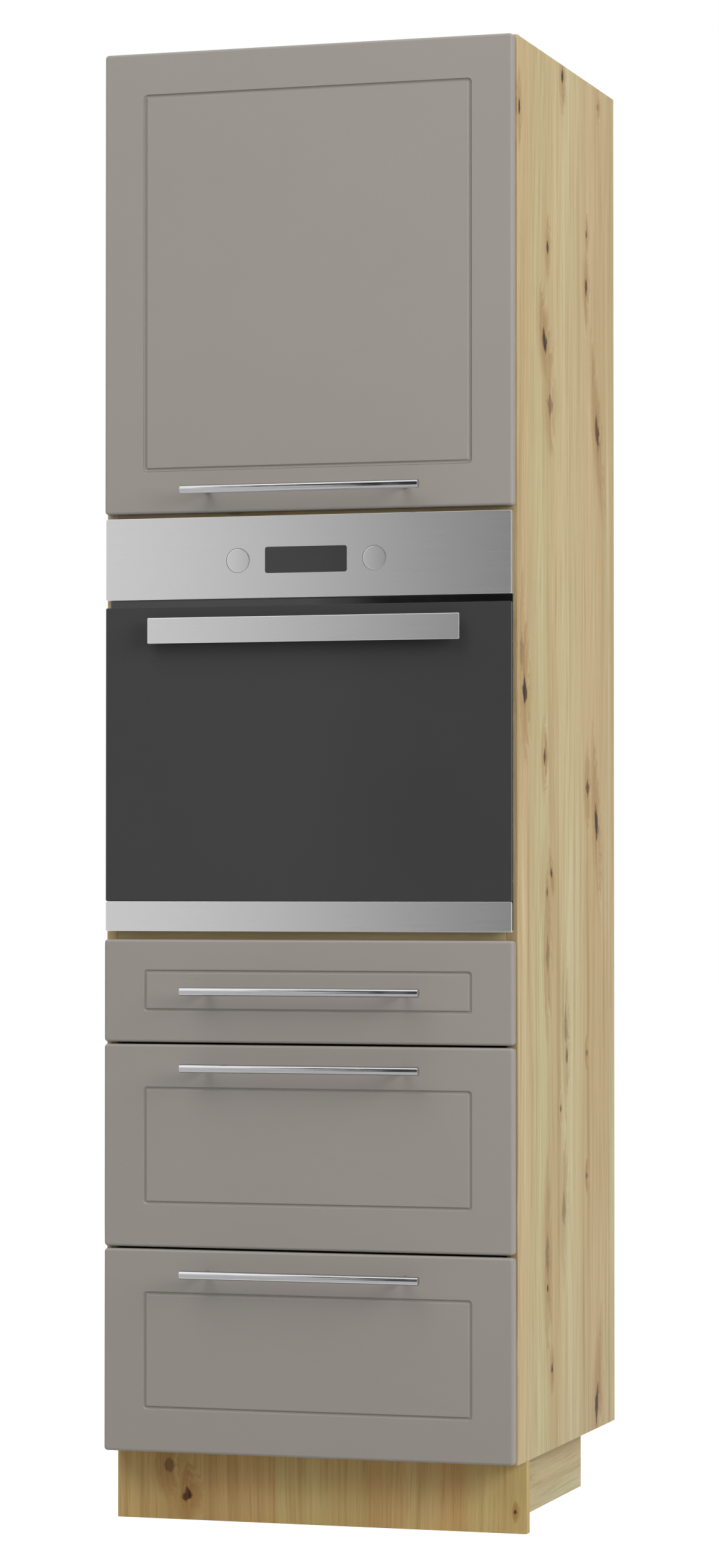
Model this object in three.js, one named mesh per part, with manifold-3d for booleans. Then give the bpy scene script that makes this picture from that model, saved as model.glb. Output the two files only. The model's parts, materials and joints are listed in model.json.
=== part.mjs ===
// Tall kitchen oven housing unit: a chipboard cabinet on a plinth frame, with three
// drawers below a built-in oven and a lift-up flap above it. Millimetres, +Z up, the
// front towards -Y. The origin is on the floor, under the middle of the overall box.
import * as THREE from "three";
import { mergeVertices } from "three/addons/utils/BufferGeometryUtils.js";
import Module from "manifold-3d";

const wasm = await Module();
wasm.setup();

// ---- Driving dimensions ----------------------------------------------------------

// Cabinet
const WIDTH = 600;
const HEIGHT = 2070;
const DEPTH = 552; // of the side panels, without the fronts
const BOARD = 16;
const BACK_BOARD = 3;
const BACK_INSET = 10; // from the rear edge of the sides to the back board
const BACK_GROOVE = 6; // how far the back board is let into the sides
const SEAT = 0.3; // clearance round a piece that is let into another

// Plinth frame
const PLINTH_HEIGHT = 100;
const PLINTH_SETBACK = 46; // of the front board, behind the cabinet's front edge
const PLINTH_SIDE_INSET = 52;
const PLINTH_RAIL_INSET = 20; // of the rear rail, from the back

// Heights up the front
const LOWEST_FRONT = 1.5; // from the cabinet's underside to the lowest drawer front
const FRONT_SPACING = 3;
const DEEP_FRONT = 284;
const SHALLOW_FRONT = 144;
const SHELF_SHOWS = 11.5; // of the oven shelf's edge, above the drawers
const NICHE_HEIGHT = 581;
const FLOOR_SHOWS = 6; // of the cupboard floor's edge, below the flap
const FLAP_TOP_MARGIN = 1;

// Cupboard behind the flap
const SHELF_SETBACK = 48; // of the loose shelf, from the front edge
const SHELF_SIDE_GAP = 1;
const SHELF_STRUT_GAP = 60; // above the shelf, to the gas strut's foot
const PIN_PITCH = 32;
const PIN_FIRST_ROW = 96; // above the cupboard floor
const PIN_LAST_ROW = 146; // least distance below the top panel
const PIN_RADIUS = 2.5;
const PIN_HOLE_DEPTH = 11;
const PIN_SETBACK = 60; // of the front column
const PIN_REAR_INSET = 108; // of the rear column, from the rear edge

// Fronts
const FRONT_THICKNESS = 16;
const FRONT_GAP = 2; // between the cabinet's front edge and a closed front
const FRONT_SIDE_REVEAL = 2;
const FRONT_CORNER = 5;
const FRONT_EDGE_RADIUS = 4;
const FRAME_STILE = 61; // from the side edge to the milled line
const FRAME_RAIL = 62;
const SHALLOW_RAIL = 45;
const GROOVE_WIDTH = 6;
const GROOVE_FLOOR = 2.4;
const GROOVE_DEPTH = 2.4;
const GROOVE_CORNER = 4.5;

// Bar handles
const BAR_LENGTH = 346;
const BAR_RADIUS = 6;
const BAR_CHAMFER = 0.7;
const BAR_STANDOFF = 34; // from the front's face to the bar's axis
const POST_SPACING = 288;
const POST_RADIUS = 4.5;
const FLAP_HANDLE_RISE = 30; // above the flap's lower edge
const DRAWER_HANDLE_DROP = 32; // below a deep front's upper edge

// Drawers on roller runners
const RUNNER_STEP = 50; // runners come in lengths of whole steps
const RUNNER_REAR_GAP = 20; // least, to the back board
const RUNNER_SETBACK = 3;
const RUNNER_RISE = 25; // of the runner's foot, above the front's lower edge
const RUNNER_HEIGHT = 34;
const RUNNER_REACH = 12; // of the runner's foot, from the cabinet side
const RUNNER_LIP = 3.3;
const ROLLER_RADIUS = 8.5;
const ROLLER_WIDTH = 5.3;
const ROLLER_INSET = 4.2; // of both rollers, from the cabinet side
const ROLLER_END = 14; // of a roller's axis, from the runner's end
const ROLLER_LIFT = 5.5; // of the front roller's rim, above the runner's foot
const ROLLER_PLAY = 0.3;
const SHEET = 1.2;
const SIDE_PLAY = 1; // between the runner's lip and the drawer side
const DRAWER_SIDE_FOOT = 6; // above the runner's foot
const DRAWER_LEDGE = 16; // the drawer side's inward flange, under the base
const DRAWER_RIM = 6.2; // the drawer side's rolled top edge
const DEEP_SIDE = 150;
const SHALLOW_SIDE = 86;

// Concealed hinges of the flap
const HINGE_FROM_EDGE = 100; // from the flap's side edge
const CUP_RADIUS = 17.5;
const CUP_DEPTH = 11.5;
const CUP_DROP = 22; // from the flap's upper edge to the cup's centre
const CUP_WALL = 1;
const CUP_PLATE = [52, 26, 1];
const PIVOT_DROP = 5; // of the flap's axis, from its upper edge
const PIVOT_DEPTH = 8; // of the flap's axis, from its face
const ARM_WIDTH = 12;
const ARM_LENGTH = 74;
const ARM_HEIGHT = 10;
const ARM_PLATE = [48, 20, 3];
const ARM_NOSE = 3.2;
const LINK_RADIUS = 1.9;
const LINK_TIP = 1.4;
const LINK_LENGTH = 16;
const LINK_WIDTH = 7;
const LINK_BASE = [3.8, -21.7]; // Y and Z of the arm's pin, from the flap's axis
const LINK_LEAN = 82.5; // degrees from +Y, with the flap shut
const HEEL_LENGTH = 7; // of the link, beyond the arm's pin
const HEEL_RADIUS = 3.2;

// Gas strut of the flap
const STRUT_INSET = 14; // of its axis, from the left cabinet side
const STRUT_FOOT = [114, -250]; // Y and Z of the cabinet end, from the flap's axis
const STRUT_HEAD = [26, -56]; // Y and Z of the flap end, from the flap's axis
const STRUT_TUBE_RADIUS = 8;
const STRUT_TUBE_LENGTH = 165;
const STRUT_TUBE_START = 14; // from the cabinet end's pin
const STRUT_ROD_RADIUS = 3;
const STRUT_ROD_HIDDEN = 104; // of the rod inside the tube, with the flap shut
const STRUT_EYE_RADIUS = 6;
const STRUT_EYE_WIDTH = 6;
const STRUT_BORE_PLAY = 0.4;
const STRUT_STUD_RADIUS = 2.5;
const BRACKET_PLATE = [18, 40, 1.5];

// Oven
const OVEN_SIDE_REVEAL = 4;
const OVEN_FRONT_PROUD = 18; // in front of the cabinet's front edge
const OVEN_TOP_GAP = 0.5;
const OVEN_SHEET = 1.5;
const CASING_SIDE_GAP = 6;
const CASING_TOP_GAP = 8;
const CASING_REAR_GAP = 22; // from the cabinet's rear edge
const CASING_FLANGE_INSET = 2;
const MOUTH_MARGIN = 10; // of the plate, inside the casing's walls
const MOUTH_LOW = 12;
const MOUTH_TOP_DROP = 4; // from the door's upper edge
const COOLING_SLOT = [100, 5];
const COOLING_PITCH = [150, 14];
const COOLING_DROP = 40; // of the first row, from the casing's top
const PANEL_HEIGHT = 115;
const PANEL_DEPTH = 15;
const PANEL_DOOR_GAP = 10.5;
const KNOB_SPACING = 199;
const KNOB_RISE = 53; // above the panel's lower edge
const KNOB_RADIUS = 17;
const KNOB_PLAY = 0.5;
const KNOB_DEPTH = 10;
const SPINDLE_RADIUS = 3;
const SPINDLE_REACH = 24; // behind the cabinet's front edge
const SPINDLE_HOLE = 6;
const DISPLAY_WIDTH = 119;
const DISPLAY_HEIGHT = 36;
const DISPLAY_CORNER = 3;
const DISPLAY_RIM = 3.5;
const STRIP_HEIGHT = 42;
const STRIP_DEPTH = 11;
const GLASS_THICKNESS = 5;
const GLASS_CORNER = 2;
const PAN_SIDE_INSET = 6; // of the door's inner pan, from the glass's edge
const PAN_BACK = -3; // Y of the pan's rim, in front of the casing's plate
const PAN_LOW = 6;
const PLUG_SIDE_GAP = 6; // between the door's plug and the mouth
const PLUG_LOW = 16;
const PLUG_TOP_DROP = 9;
const PLUG_BACK = 14; // Y of the door's innermost face
const WINDOW_MARGIN = 40; // of the pan, inside the inner glass's sides
const WINDOW_RISE = [95, 375];
const INNER_GLASS_MARGIN = 37; // of the plug, outside the inner glass's sides
const INNER_GLASS_RISE = [60, 410];
const INNER_GLASS_REBATE = 4;
const OVEN_PIVOT = [-10, 7]; // Y and Z of the door's axis, from the niche's front edge
const OVEN_HINGE_INSET = 21; // of a hinge arm's middle, from the plug's side
const OVEN_HINGE_WIDTH = 6;
const OVEN_HINGE_RADIUS = 4;
const OVEN_HINGE_SLOT = 12;
const OVEN_HANDLE_MARGIN = 69; // of the glass, beyond each end of the bar
const OVEN_HANDLE_HEIGHT = 36;
const OVEN_HANDLE_THICKNESS = 6;
const OVEN_HANDLE_STANDOFF = 14; // between the bar's back and the glass
const OVEN_HANDLE_DROP = 34; // of its centre, from the door's upper edge
const OVEN_POST_INSET = 27; // from the bar's end
const OVEN_POST_RADIUS = 6;
const CAVITY_SIDE_GAP = 38; // for insulation, between casing and liner
const CAVITY_HEIGHT = 350;
const CAVITY_REAR_GAP = 103; // for the fan, between liner and casing
const CAVITY_RISE = 61.5;
const CAVITY_CORNER = 24;
const CAVITY_FRONT = 17; // Y of the liner's flange
const RIB_LEVELS = 5;
const RIB_PITCH = 55;
const RIB_FIRST = 55; // above the cavity's floor
const RIB_REACH = 12;
const RIB_ENDS = [25, 10]; // the ribs stop short of the mouth and of the back
const RIB_THICKNESS = 4;
const RACK_LEVEL = 2;
const RACK_SIDE_GAP = 4;
const RACK_WIRE = 3; // radius of the frame
const RACK_BAR = 1.6; // radius of the bars
const RACK_BARS = 13;
const RACK_FRONT_GAP = 12;
const RACK_REAR_GAP = 18;
const SEAL_MARGIN = 6; // round the cavity's mouth
const SEAL_WIDTH = 8;

// Facets
const CORNER_STEPS = 4;
const ROUND_SIDES = 16;
const CUP_SIDES = 28;

// ---- Places worked out from them -------------------------------------------------

const INNER = WIDTH / 2 - BOARD; // X of the cabinet sides' inner faces
const FRONT_FACE = -FRONT_GAP - FRONT_THICKNESS;
const FRONT_BACK = -FRONT_GAP;
const FRONT_WIDTH = WIDTH - 2 * FRONT_SIDE_REVEAL;
const BACK_FACE = DEPTH - BACK_INSET - BACK_BOARD; // Y of the back board's front
const BOARD_END = BACK_FACE - SEAT; // Y where boards stop before the back
const CABINET_TOP = HEIGHT;

const lowDrawer = PLINTH_HEIGHT + LOWEST_FRONT;
const midDrawer = lowDrawer + DEEP_FRONT + FRONT_SPACING;
const topDrawer = midDrawer + DEEP_FRONT + FRONT_SPACING;
const nicheFloor = topDrawer + SHALLOW_FRONT + SHELF_SHOWS;
const nicheCeiling = nicheFloor + NICHE_HEIGHT;
const flapBottom = nicheCeiling + FLOOR_SHOWS;
const flapTop = CABINET_TOP - FLAP_TOP_MARGIN;
const flapAxis = [FRONT_FACE + PIVOT_DEPTH, flapTop - PIVOT_DROP];

const BAR_Y = FRONT_FACE - BAR_STANDOFF;
const FOREMOST = BAR_Y - BAR_RADIUS;

const runnerRoom = BACK_FACE - RUNNER_SETBACK - RUNNER_REAR_GAP;
const RUNNER_LENGTH = RUNNER_STEP * Math.floor(runnerRoom / RUNNER_STEP);
const DRAWER_WEB = RUNNER_REACH + SIDE_PLAY; // the drawer side's outer face
const DRAWER_INNER = INNER - DRAWER_WEB - SHEET;
const ROLLER_AXIS = ROLLER_LIFT + ROLLER_RADIUS;
const GUIDE_HEIGHT = ROLLER_AXIS + ROLLER_RADIUS + ROLLER_PLAY; // rides on the roller

const firstPinZ = nicheCeiling + BOARD + PIN_FIRST_ROW;
const lastPinZ = CABINET_TOP - BOARD - PIN_LAST_ROW;
const PIN_ROWS = Math.floor((lastPinZ - firstPinZ) / PIN_PITCH) + 1;

const OVEN_FRONT_WIDTH = WIDTH - 2 * OVEN_SIDE_REVEAL;
const OVEN_HALF = OVEN_FRONT_WIDTH / 2;
const OVEN_FACE = -OVEN_FRONT_PROUD;
const CASING_HALF = INNER - CASING_SIDE_GAP;
const CASING_TOP = NICHE_HEIGHT - CASING_TOP_GAP;
const CASING_DEPTH = DEPTH - CASING_REAR_GAP;
const CAVITY_DEPTH = CASING_DEPTH - CAVITY_REAR_GAP - CAVITY_FRONT;
const RACK_DEPTH = CAVITY_DEPTH - RACK_FRONT_GAP - RACK_REAR_GAP;
const MOUTH_HALF_WIDTH = CASING_HALF - MOUTH_MARGIN;
const PLUG_HALF_WIDTH = MOUTH_HALF_WIDTH - PLUG_SIDE_GAP;
const INNER_GLASS_HALF_WIDTH = PLUG_HALF_WIDTH - INNER_GLASS_MARGIN;
const WINDOW_HALF_WIDTH = INNER_GLASS_HALF_WIDTH - WINDOW_MARGIN;
const OVEN_HINGE_X = PLUG_HALF_WIDTH - OVEN_HINGE_INSET;
const CAVITY_WIDTH = 2 * (CASING_HALF - CAVITY_SIDE_GAP);
const OVEN_HANDLE_LENGTH = OVEN_FRONT_WIDTH - 2 * OVEN_HANDLE_MARGIN;
const OVEN_POST_SPACING = OVEN_HANDLE_LENGTH - 2 * OVEN_POST_INSET;
const PLATE_BACK = -SEAT; // Y of the casing flange's back, against the cabinet
const PLATE_FRONT = PLATE_BACK - OVEN_SHEET;
const OVEN_TOP = NICHE_HEIGHT - OVEN_TOP_GAP;
const PANEL_LOW = OVEN_TOP - PANEL_HEIGHT;
const DOOR_TOP = PANEL_LOW - PANEL_DOOR_GAP;
const KNOB_Z = PANEL_LOW + KNOB_RISE;
const GLASS_BACK = OVEN_FACE + GLASS_THICKNESS;
const PAN_FRONT = GLASS_BACK + SEAT;

// ---- Finishes --------------------------------------------------------------------

const FINISHES = {
  oak: { color: 0xbba77f, roughness: 0.7, metalness: 0 },
  backBoard: { color: 0xd9d4c8, roughness: 0.8, metalness: 0 },
  lacquer: { color: 0x9a958f, roughness: 0.45, metalness: 0 },
  chrome: { color: 0xd8d8da, roughness: 0.12, metalness: 1 },
  greySteel: { color: 0xb9bbbc, roughness: 0.45, metalness: 0.6 },
  drawerBoard: { color: 0xd6d3cc, roughness: 0.75, metalness: 0 },
  nickel: { color: 0xb4b2ac, roughness: 0.3, metalness: 1 },
  strutBlack: { color: 0x26272a, roughness: 0.4, metalness: 0.3 },
  zinc: { color: 0x9da1a3, roughness: 0.5, metalness: 0.8 },
  enamel: { color: 0x2b2c2f, roughness: 0.3, metalness: 0 },
  brushedSteel: { color: 0xbdbdbd, roughness: 0.35, metalness: 0.9 },
  blackGlass: { color: 0x3f3f40, roughness: 0.08, metalness: 0 },
  display: { color: 0x36373a, roughness: 0.1, metalness: 0 },
  blackSteel: { color: 0x1e1f21, roughness: 0.5, metalness: 0.4 },
  clearGlass: { color: 0x8d979a, roughness: 0.05, metalness: 0 },
  silicone: { color: 0x2a2a2a, roughness: 0.8, metalness: 0 },
};

// ---- Making and joining solids ---------------------------------------------------

// Shared vertices merged, and triangles that the merge closed up left out.
function welded(geometry) {
  const bare = geometry.clone();
  for (const name of Object.keys(bare.attributes)) {
    if (name !== "position") bare.deleteAttribute(name);
  }
  const merged = mergeVertices(bare, 1e-4);
  const corners = merged.index.array;
  const kept = [];
  for (let i = 0; i < corners.length; i += 3) {
    const [a, b, c] = corners.slice(i, i + 3);
    if (a !== b && b !== c && c !== a) kept.push(a, b, c);
  }
  merged.setIndex(kept);
  return merged;
}

function solidOf(geometry) {
  const merged = welded(geometry);
  const faces = new Uint32Array(merged.index.array);
  const vertProperties = merged.attributes.position.array;
  const solid = new wasm.Manifold(new wasm.Mesh({ numProp: 3, vertProperties, triVerts: faces }));
  if (solid.volume() >= 0) return solid;
  const turned = faces.slice();
  for (let i = 0; i < faces.length; i += 3) [turned[i], turned[i + 1]] = [faces[i + 1], faces[i]];
  return new wasm.Manifold(new wasm.Mesh({ numProp: 3, vertProperties, triVerts: turned }));
}

function geometryOf(solid) {
  const mesh = solid.getMesh();
  const geometry = new THREE.BufferGeometry();
  geometry.setAttribute("position", new THREE.BufferAttribute(mesh.vertProperties, 3));
  geometry.setIndex(new THREE.BufferAttribute(mesh.triVerts, 1));
  const flat = geometry.toNonIndexed();
  flat.computeVertexNormals();
  return flat;
}

function join(...geometries) {
  return geometryOf(geometries.map(solidOf).reduce((whole, next) => whole.add(next)));
}

function cut(geometry, ...tools) {
  return geometryOf(tools.map(solidOf).reduce((whole, tool) => whole.subtract(tool), solidOf(geometry)));
}

// A box between two values along each axis.
function block([x0, x1], [y0, y1], [z0, z1]) {
  const box = new THREE.BoxGeometry(Math.abs(x1 - x0), Math.abs(y1 - y0), Math.abs(z1 - z0));
  return box.translate((x0 + x1) / 2, (y0 + y1) / 2, (z0 + z1) / 2);
}

// Both signs of a half width, as a range.
const across = (half) => [-half, half];

// A cylinder along X or Y from one value to another, through a point of the other two axes.
function rodAlongX(radius, [x0, x1], [y, z], sides = ROUND_SIDES) {
  const rod = new THREE.CylinderGeometry(radius, radius, Math.abs(x1 - x0), sides);
  return rod.rotateZ(Math.PI / 2).translate((x0 + x1) / 2, y, z);
}

function rodAlongY(radius, [x, z], [y0, y1], sides = ROUND_SIDES) {
  const rod = new THREE.CylinderGeometry(radius, radius, Math.abs(y1 - y0), sides);
  return rod.translate(x, (y0 + y1) / 2, z);
}

// A profile in X and Z pushed along Y.
function pushAlongY(shape, [y0, y1]) {
  const solid = new THREE.ExtrudeGeometry(shape, { depth: y1 - y0, bevelEnabled: false });
  return solid.rotateX(Math.PI / 2).translate(0, y1, 0);
}

// A profile in Y and Z pushed along X.
function pushAlongX(shape, [x0, x1]) {
  const solid = new THREE.ExtrudeGeometry(shape, { depth: x1 - x0, bevelEnabled: false });
  const turn = new THREE.Matrix4().makeBasis(
    new THREE.Vector3(0, 1, 0),
    new THREE.Vector3(0, 0, 1),
    new THREE.Vector3(1, 0, 0),
  );
  return solid.applyMatrix4(turn).translate(x0, 0, 0);
}

// A profile turned about the Y axis; its points are [radius, y].
function turned(points, sides) {
  const profile = points.map(([radius, y]) => new THREE.Vector2(radius, y));
  return new THREE.LatheGeometry(profile, sides);
}

// The outline of a rectangle with round corners, in X and Z about the origin.
function roundedOutline(halfWidth, halfHeight, radius, steps = CORNER_STEPS) {
  const points = [];
  for (let corner = 0; corner < 4; corner++) {
    const right = corner === 0 || corner === 3 ? 1 : -1;
    const up = corner < 2 ? 1 : -1;
    for (let step = 0; step <= steps; step++) {
      const angle = ((corner + step / steps) * Math.PI) / 2;
      const x = right * (halfWidth - radius) + radius * Math.cos(angle);
      const z = up * (halfHeight - radius) + radius * Math.sin(angle);
      points.push(new THREE.Vector2(x, z));
    }
  }
  return points;
}

function roundedPlate([x0, x1], [z0, z1], radius, yRange, steps = CORNER_STEPS) {
  const outline = roundedOutline((x1 - x0) / 2, (z1 - z0) / 2, radius, steps);
  const plate = pushAlongY(new THREE.Shape(outline), yRange);
  return plate.translate((x0 + x1) / 2, 0, (z0 + z1) / 2);
}

// Skin over a row of outlines, each {outline, y}, running towards the front. A looped
// row closes on itself like a picture frame, and any other gets two flat ends.
function skinned(rings, looped = false) {
  const count = rings[0].outline.length;
  const vertices = rings.flatMap(({ outline, y }) => outline.flatMap((p) => [p.x, y, p.y]));
  const faces = [];
  const spans = looped ? rings.length : rings.length - 1;
  for (let ring = 0; ring < spans; ring++) {
    const near = ring * count;
    const far = ((ring + 1) % rings.length) * count;
    for (let i = 0; i < count; i++) {
      const j = (i + 1) % count;
      faces.push(near + i, near + j, far + j, near + i, far + j, far + i);
    }
  }
  if (!looped) {
    const last = (rings.length - 1) * count;
    for (let i = 1; i < count - 1; i++) {
      faces.push(0, i + 1, i, last, last + i, last + i + 1);
    }
  }
  const skin = new THREE.BufferGeometry();
  skin.setAttribute("position", new THREE.Float32BufferAttribute(vertices, 3));
  skin.setIndex(faces);
  return skin;
}

// A board whose front arris is rounded, about the origin in X and Z.
function softEdgedBoard(width, height, corner, edgeRadius, [yFront, yBack], steps = 3) {
  const outline = (inset) => roundedOutline(width / 2 - inset, height / 2 - inset, corner - inset);
  const rings = [{ outline: outline(0), y: yBack }];
  for (let step = 0; step <= steps; step++) {
    const angle = ((step / steps) * Math.PI) / 2;
    const inset = edgeRadius * (1 - Math.cos(angle));
    rings.push({ outline: outline(inset), y: yFront + edgeRadius * (1 - Math.sin(angle)) });
  }
  return skinned(rings);
}

function piece(name, finish, geometry, position = [0, 0, 0]) {
  const mesh = new THREE.Mesh(geometry, new THREE.MeshStandardMaterial(FINISHES[finish]));
  mesh.name = name;
  mesh.position.set(...position);
  return mesh;
}

function grouped(position, ...members) {
  const group = new THREE.Group();
  group.position.set(...position);
  group.add(...members.flat());
  return group;
}

// ---- Cabinet ---------------------------------------------------------------------

// A side: grooved for the back boards, and drilled for the cupboard's shelf pins.
function sidePanel(side) {
  const board = block([side * INNER, (side * WIDTH) / 2], [0, DEPTH], [PLINTH_HEIGHT, CABINET_TOP]);
  const groove = block(
    [side * (INNER - 1), side * (INNER + BACK_GROOVE + SEAT)],
    [BACK_FACE - SEAT, BACK_FACE + BACK_BOARD + SEAT],
    [PLINTH_HEIGHT - 1, CABINET_TOP + 1],
  );
  const holes = [];
  for (const setback of [PIN_SETBACK, DEPTH - PIN_REAR_INSET]) {
    for (let row = 0; row < PIN_ROWS; row++) {
      const z = firstPinZ + row * PIN_PITCH;
      const reach = [side * (INNER - 1), side * (INNER + PIN_HOLE_DEPTH)];
      holes.push(rodAlongX(PIN_RADIUS, reach, [setback, z], 8));
    }
  }
  return cut(board, groove, ...holes);
}

function fixedBoard(bottom) {
  return block(across(INNER), [0, BOARD_END], [bottom, bottom + BOARD]);
}

function backBoard(bottom, top) {
  const yRange = [BACK_FACE, BACK_FACE + BACK_BOARD];
  return block(across(INNER + BACK_GROOVE), yRange, [bottom, top]);
}

// The shelf lies on pins in the highest row that leaves the strut its room.
function cupboardShelf() {
  const highest = flapAxis[1] + STRUT_FOOT[1] - STRUT_TUBE_RADIUS - SHELF_STRUT_GAP - BOARD - PIN_RADIUS;
  const row = Math.max(0, Math.floor((highest - firstPinZ) / PIN_PITCH));
  const bottom = firstPinZ + row * PIN_PITCH + PIN_RADIUS;
  const yRange = [SHELF_SETBACK, BOARD_END - 1];
  return block(across(INNER - SHELF_SIDE_GAP), yRange, [bottom, bottom + BOARD]);
}

function cabinet() {
  return grouped([0, 0, 0], [
    piece("side_panel_left", "oak", sidePanel(-1)),
    piece("side_panel_right", "oak", sidePanel(1)),
    piece("bottom_panel", "oak", fixedBoard(PLINTH_HEIGHT)),
    piece("top_panel", "oak", fixedBoard(CABINET_TOP - BOARD)),
    piece("oven_shelf", "oak", fixedBoard(nicheFloor - BOARD)),
    piece("cupboard_floor", "oak", fixedBoard(nicheCeiling)),
    piece("cupboard_shelf", "oak", cupboardShelf()),
    piece("back_panel_lower", "backBoard", backBoard(PLINTH_HEIGHT, nicheFloor)),
    piece("back_panel_upper", "backBoard", backBoard(nicheCeiling, CABINET_TOP)),
  ]);
}

// ---- Plinth ----------------------------------------------------------------------

function plinth() {
  const tall = [0, PLINTH_HEIGHT];
  const front = block(across(WIDTH / 2), [PLINTH_SETBACK, PLINTH_SETBACK + BOARD], tall);
  const outer = WIDTH / 2 - PLINTH_SIDE_INSET;
  const sideBoard = (side) =>
    block([side * outer, side * (outer - BOARD)], [PLINTH_SETBACK + BOARD, DEPTH], tall);
  const railBack = DEPTH - PLINTH_RAIL_INSET;
  const rail = block(across(outer - BOARD), [railBack - BOARD, railBack], tall);
  return grouped([0, 0, 0], [
    piece("plinth_front", "oak", front),
    piece("plinth_side_left", "oak", sideBoard(-1)),
    piece("plinth_side_right", "oak", sideBoard(1)),
    piece("plinth_rear_rail", "oak", rail),
  ]);
}

// ---- Fronts and bar handles ------------------------------------------------------

// The cutter that mills one rectangular line into a front's face.
function grooveCutter(width, height) {
  const half = GROOVE_WIDTH / 2;
  const floor = GROOVE_FLOOR / 2;
  const lip = (half + floor) / 2 + 0.3;
  const profile = [
    [floor, GROOVE_DEPTH],
    [lip, GROOVE_DEPTH * 0.45],
    [half, 0],
    [half, -1],
    [-half, -1],
    [-half, 0],
    [-lip, GROOVE_DEPTH * 0.45],
    [-floor, GROOVE_DEPTH],
  ];
  const rings = profile.map(([offset, depth]) => ({
    outline: roundedOutline(width / 2 + offset, height / 2 + offset, GROOVE_CORNER + offset),
    y: FRONT_FACE + depth,
  }));
  return skinned(rings, true);
}

// A front about the origin in X and Z, with the line milled in from its edges.
function milledFront(height, rail) {
  const yRange = [FRONT_FACE, FRONT_BACK];
  const board = softEdgedBoard(FRONT_WIDTH, height, FRONT_CORNER, FRONT_EDGE_RADIUS, yRange);
  return cut(board, grooveCutter(FRONT_WIDTH - 2 * FRAME_STILE, height - 2 * rail));
}

function barHandle() {
  const half = BAR_LENGTH / 2;
  const bar = turned(
    [
      [0, -half],
      [BAR_RADIUS - BAR_CHAMFER, -half],
      [BAR_RADIUS, -half + BAR_CHAMFER],
      [BAR_RADIUS, half - BAR_CHAMFER],
      [BAR_RADIUS - BAR_CHAMFER, half],
      [0, half],
    ],
    ROUND_SIDES,
  )
    .rotateZ(Math.PI / 2)
    .translate(0, BAR_Y, 0);
  const posts = [-1, 1].map((side) =>
    rodAlongY(POST_RADIUS, [(side * POST_SPACING) / 2, 0], [BAR_Y, FRONT_FACE], 12),
  );
  return join(bar, ...posts);
}

// ---- Drawers ---------------------------------------------------------------------

// A sheet steel section in X and Z; its points are [distance from the cabinet side, height].
function section(side, points) {
  return new THREE.Shape(points.map(([inset, z]) => new THREE.Vector2(side * (INNER - inset), z)));
}

// The runner on the cabinet side: an angle with a lip, and the roller at its front end.
function cabinetRunner(side) {
  const angle = pushAlongY(
    section(side, [
      [0, 0],
      [RUNNER_REACH, 0],
      [RUNNER_REACH, RUNNER_LIP + SHEET],
      [RUNNER_REACH - SHEET, RUNNER_LIP + SHEET],
      [RUNNER_REACH - SHEET, SHEET],
      [SHEET, SHEET],
      [SHEET, RUNNER_HEIGHT],
      [0, RUNNER_HEIGHT],
    ]),
    [RUNNER_SETBACK, RUNNER_SETBACK + RUNNER_LENGTH],
  );
  const axis = [RUNNER_SETBACK + ROLLER_END, ROLLER_AXIS];
  return join(angle, ...rollerOn(side, axis, SHEET / 2, ROLLER_INSET + ROLLER_WIDTH));
}

// A roller and the pin that carries it, between two distances from the cabinet side.
function rollerOn(side, axis, pinStart, pinEnd) {
  const xOf = (inset) => side * (INNER - inset);
  const wheel = [xOf(ROLLER_INSET), xOf(ROLLER_INSET + ROLLER_WIDTH)];
  return [
    rodAlongX(ROLLER_RADIUS, wheel, axis),
    rodAlongX(ROLLER_RADIUS / 3, [xOf(pinStart), xOf(pinEnd)], axis, 8),
  ];
}

// A drawer side: folded sheet with a rolled top edge, a guide that rides on the front
// roller, a ledge under the base, and the rear roller that rides in the runner.
function drawerSide(side, height) {
  const foot = DRAWER_SIDE_FOOT;
  const top = foot + height;
  const web = DRAWER_WEB;
  const profile = section(side, [
    [web + SHEET + DRAWER_LEDGE, foot],
    [web, foot],
    [web, GUIDE_HEIGHT],
    [3.2, GUIDE_HEIGHT],
    [3.2, GUIDE_HEIGHT - 3.8],
    [2, GUIDE_HEIGHT - 3.8],
    [2, GUIDE_HEIGHT + SHEET],
    [web, GUIDE_HEIGHT + SHEET],
    [web, top - SHEET],
    [web - DRAWER_RIM + SHEET, top - SHEET],
    [web - DRAWER_RIM + SHEET, top - DRAWER_RIM],
    [web - DRAWER_RIM, top - DRAWER_RIM],
    [web - DRAWER_RIM, top],
    [web + SHEET, top],
    [web + SHEET, foot + SHEET],
    [web + SHEET + DRAWER_LEDGE, foot + SHEET],
  ]);
  const end = RUNNER_SETBACK + RUNNER_LENGTH;
  const sheet = pushAlongY(profile, [FRONT_BACK, end]);
  const axis = [end - ROLLER_END, SHEET + ROLLER_PLAY + ROLLER_RADIUS];
  return join(sheet, ...rollerOn(side, axis, ROLLER_INSET, web + SHEET / 2));
}

// The base board with the back board standing on its rear edge.
function drawerBase(height) {
  const half = DRAWER_INNER - SEAT;
  const low = DRAWER_SIDE_FOOT + SHEET + SEAT;
  const end = RUNNER_SETBACK + RUNNER_LENGTH;
  const base = block(across(half), [FRONT_BACK + SEAT, end], [low, low + BOARD]);
  const back = block(across(half), [end - BOARD, end], [low + BOARD / 2, height]);
  return join(base, back);
}

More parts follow.
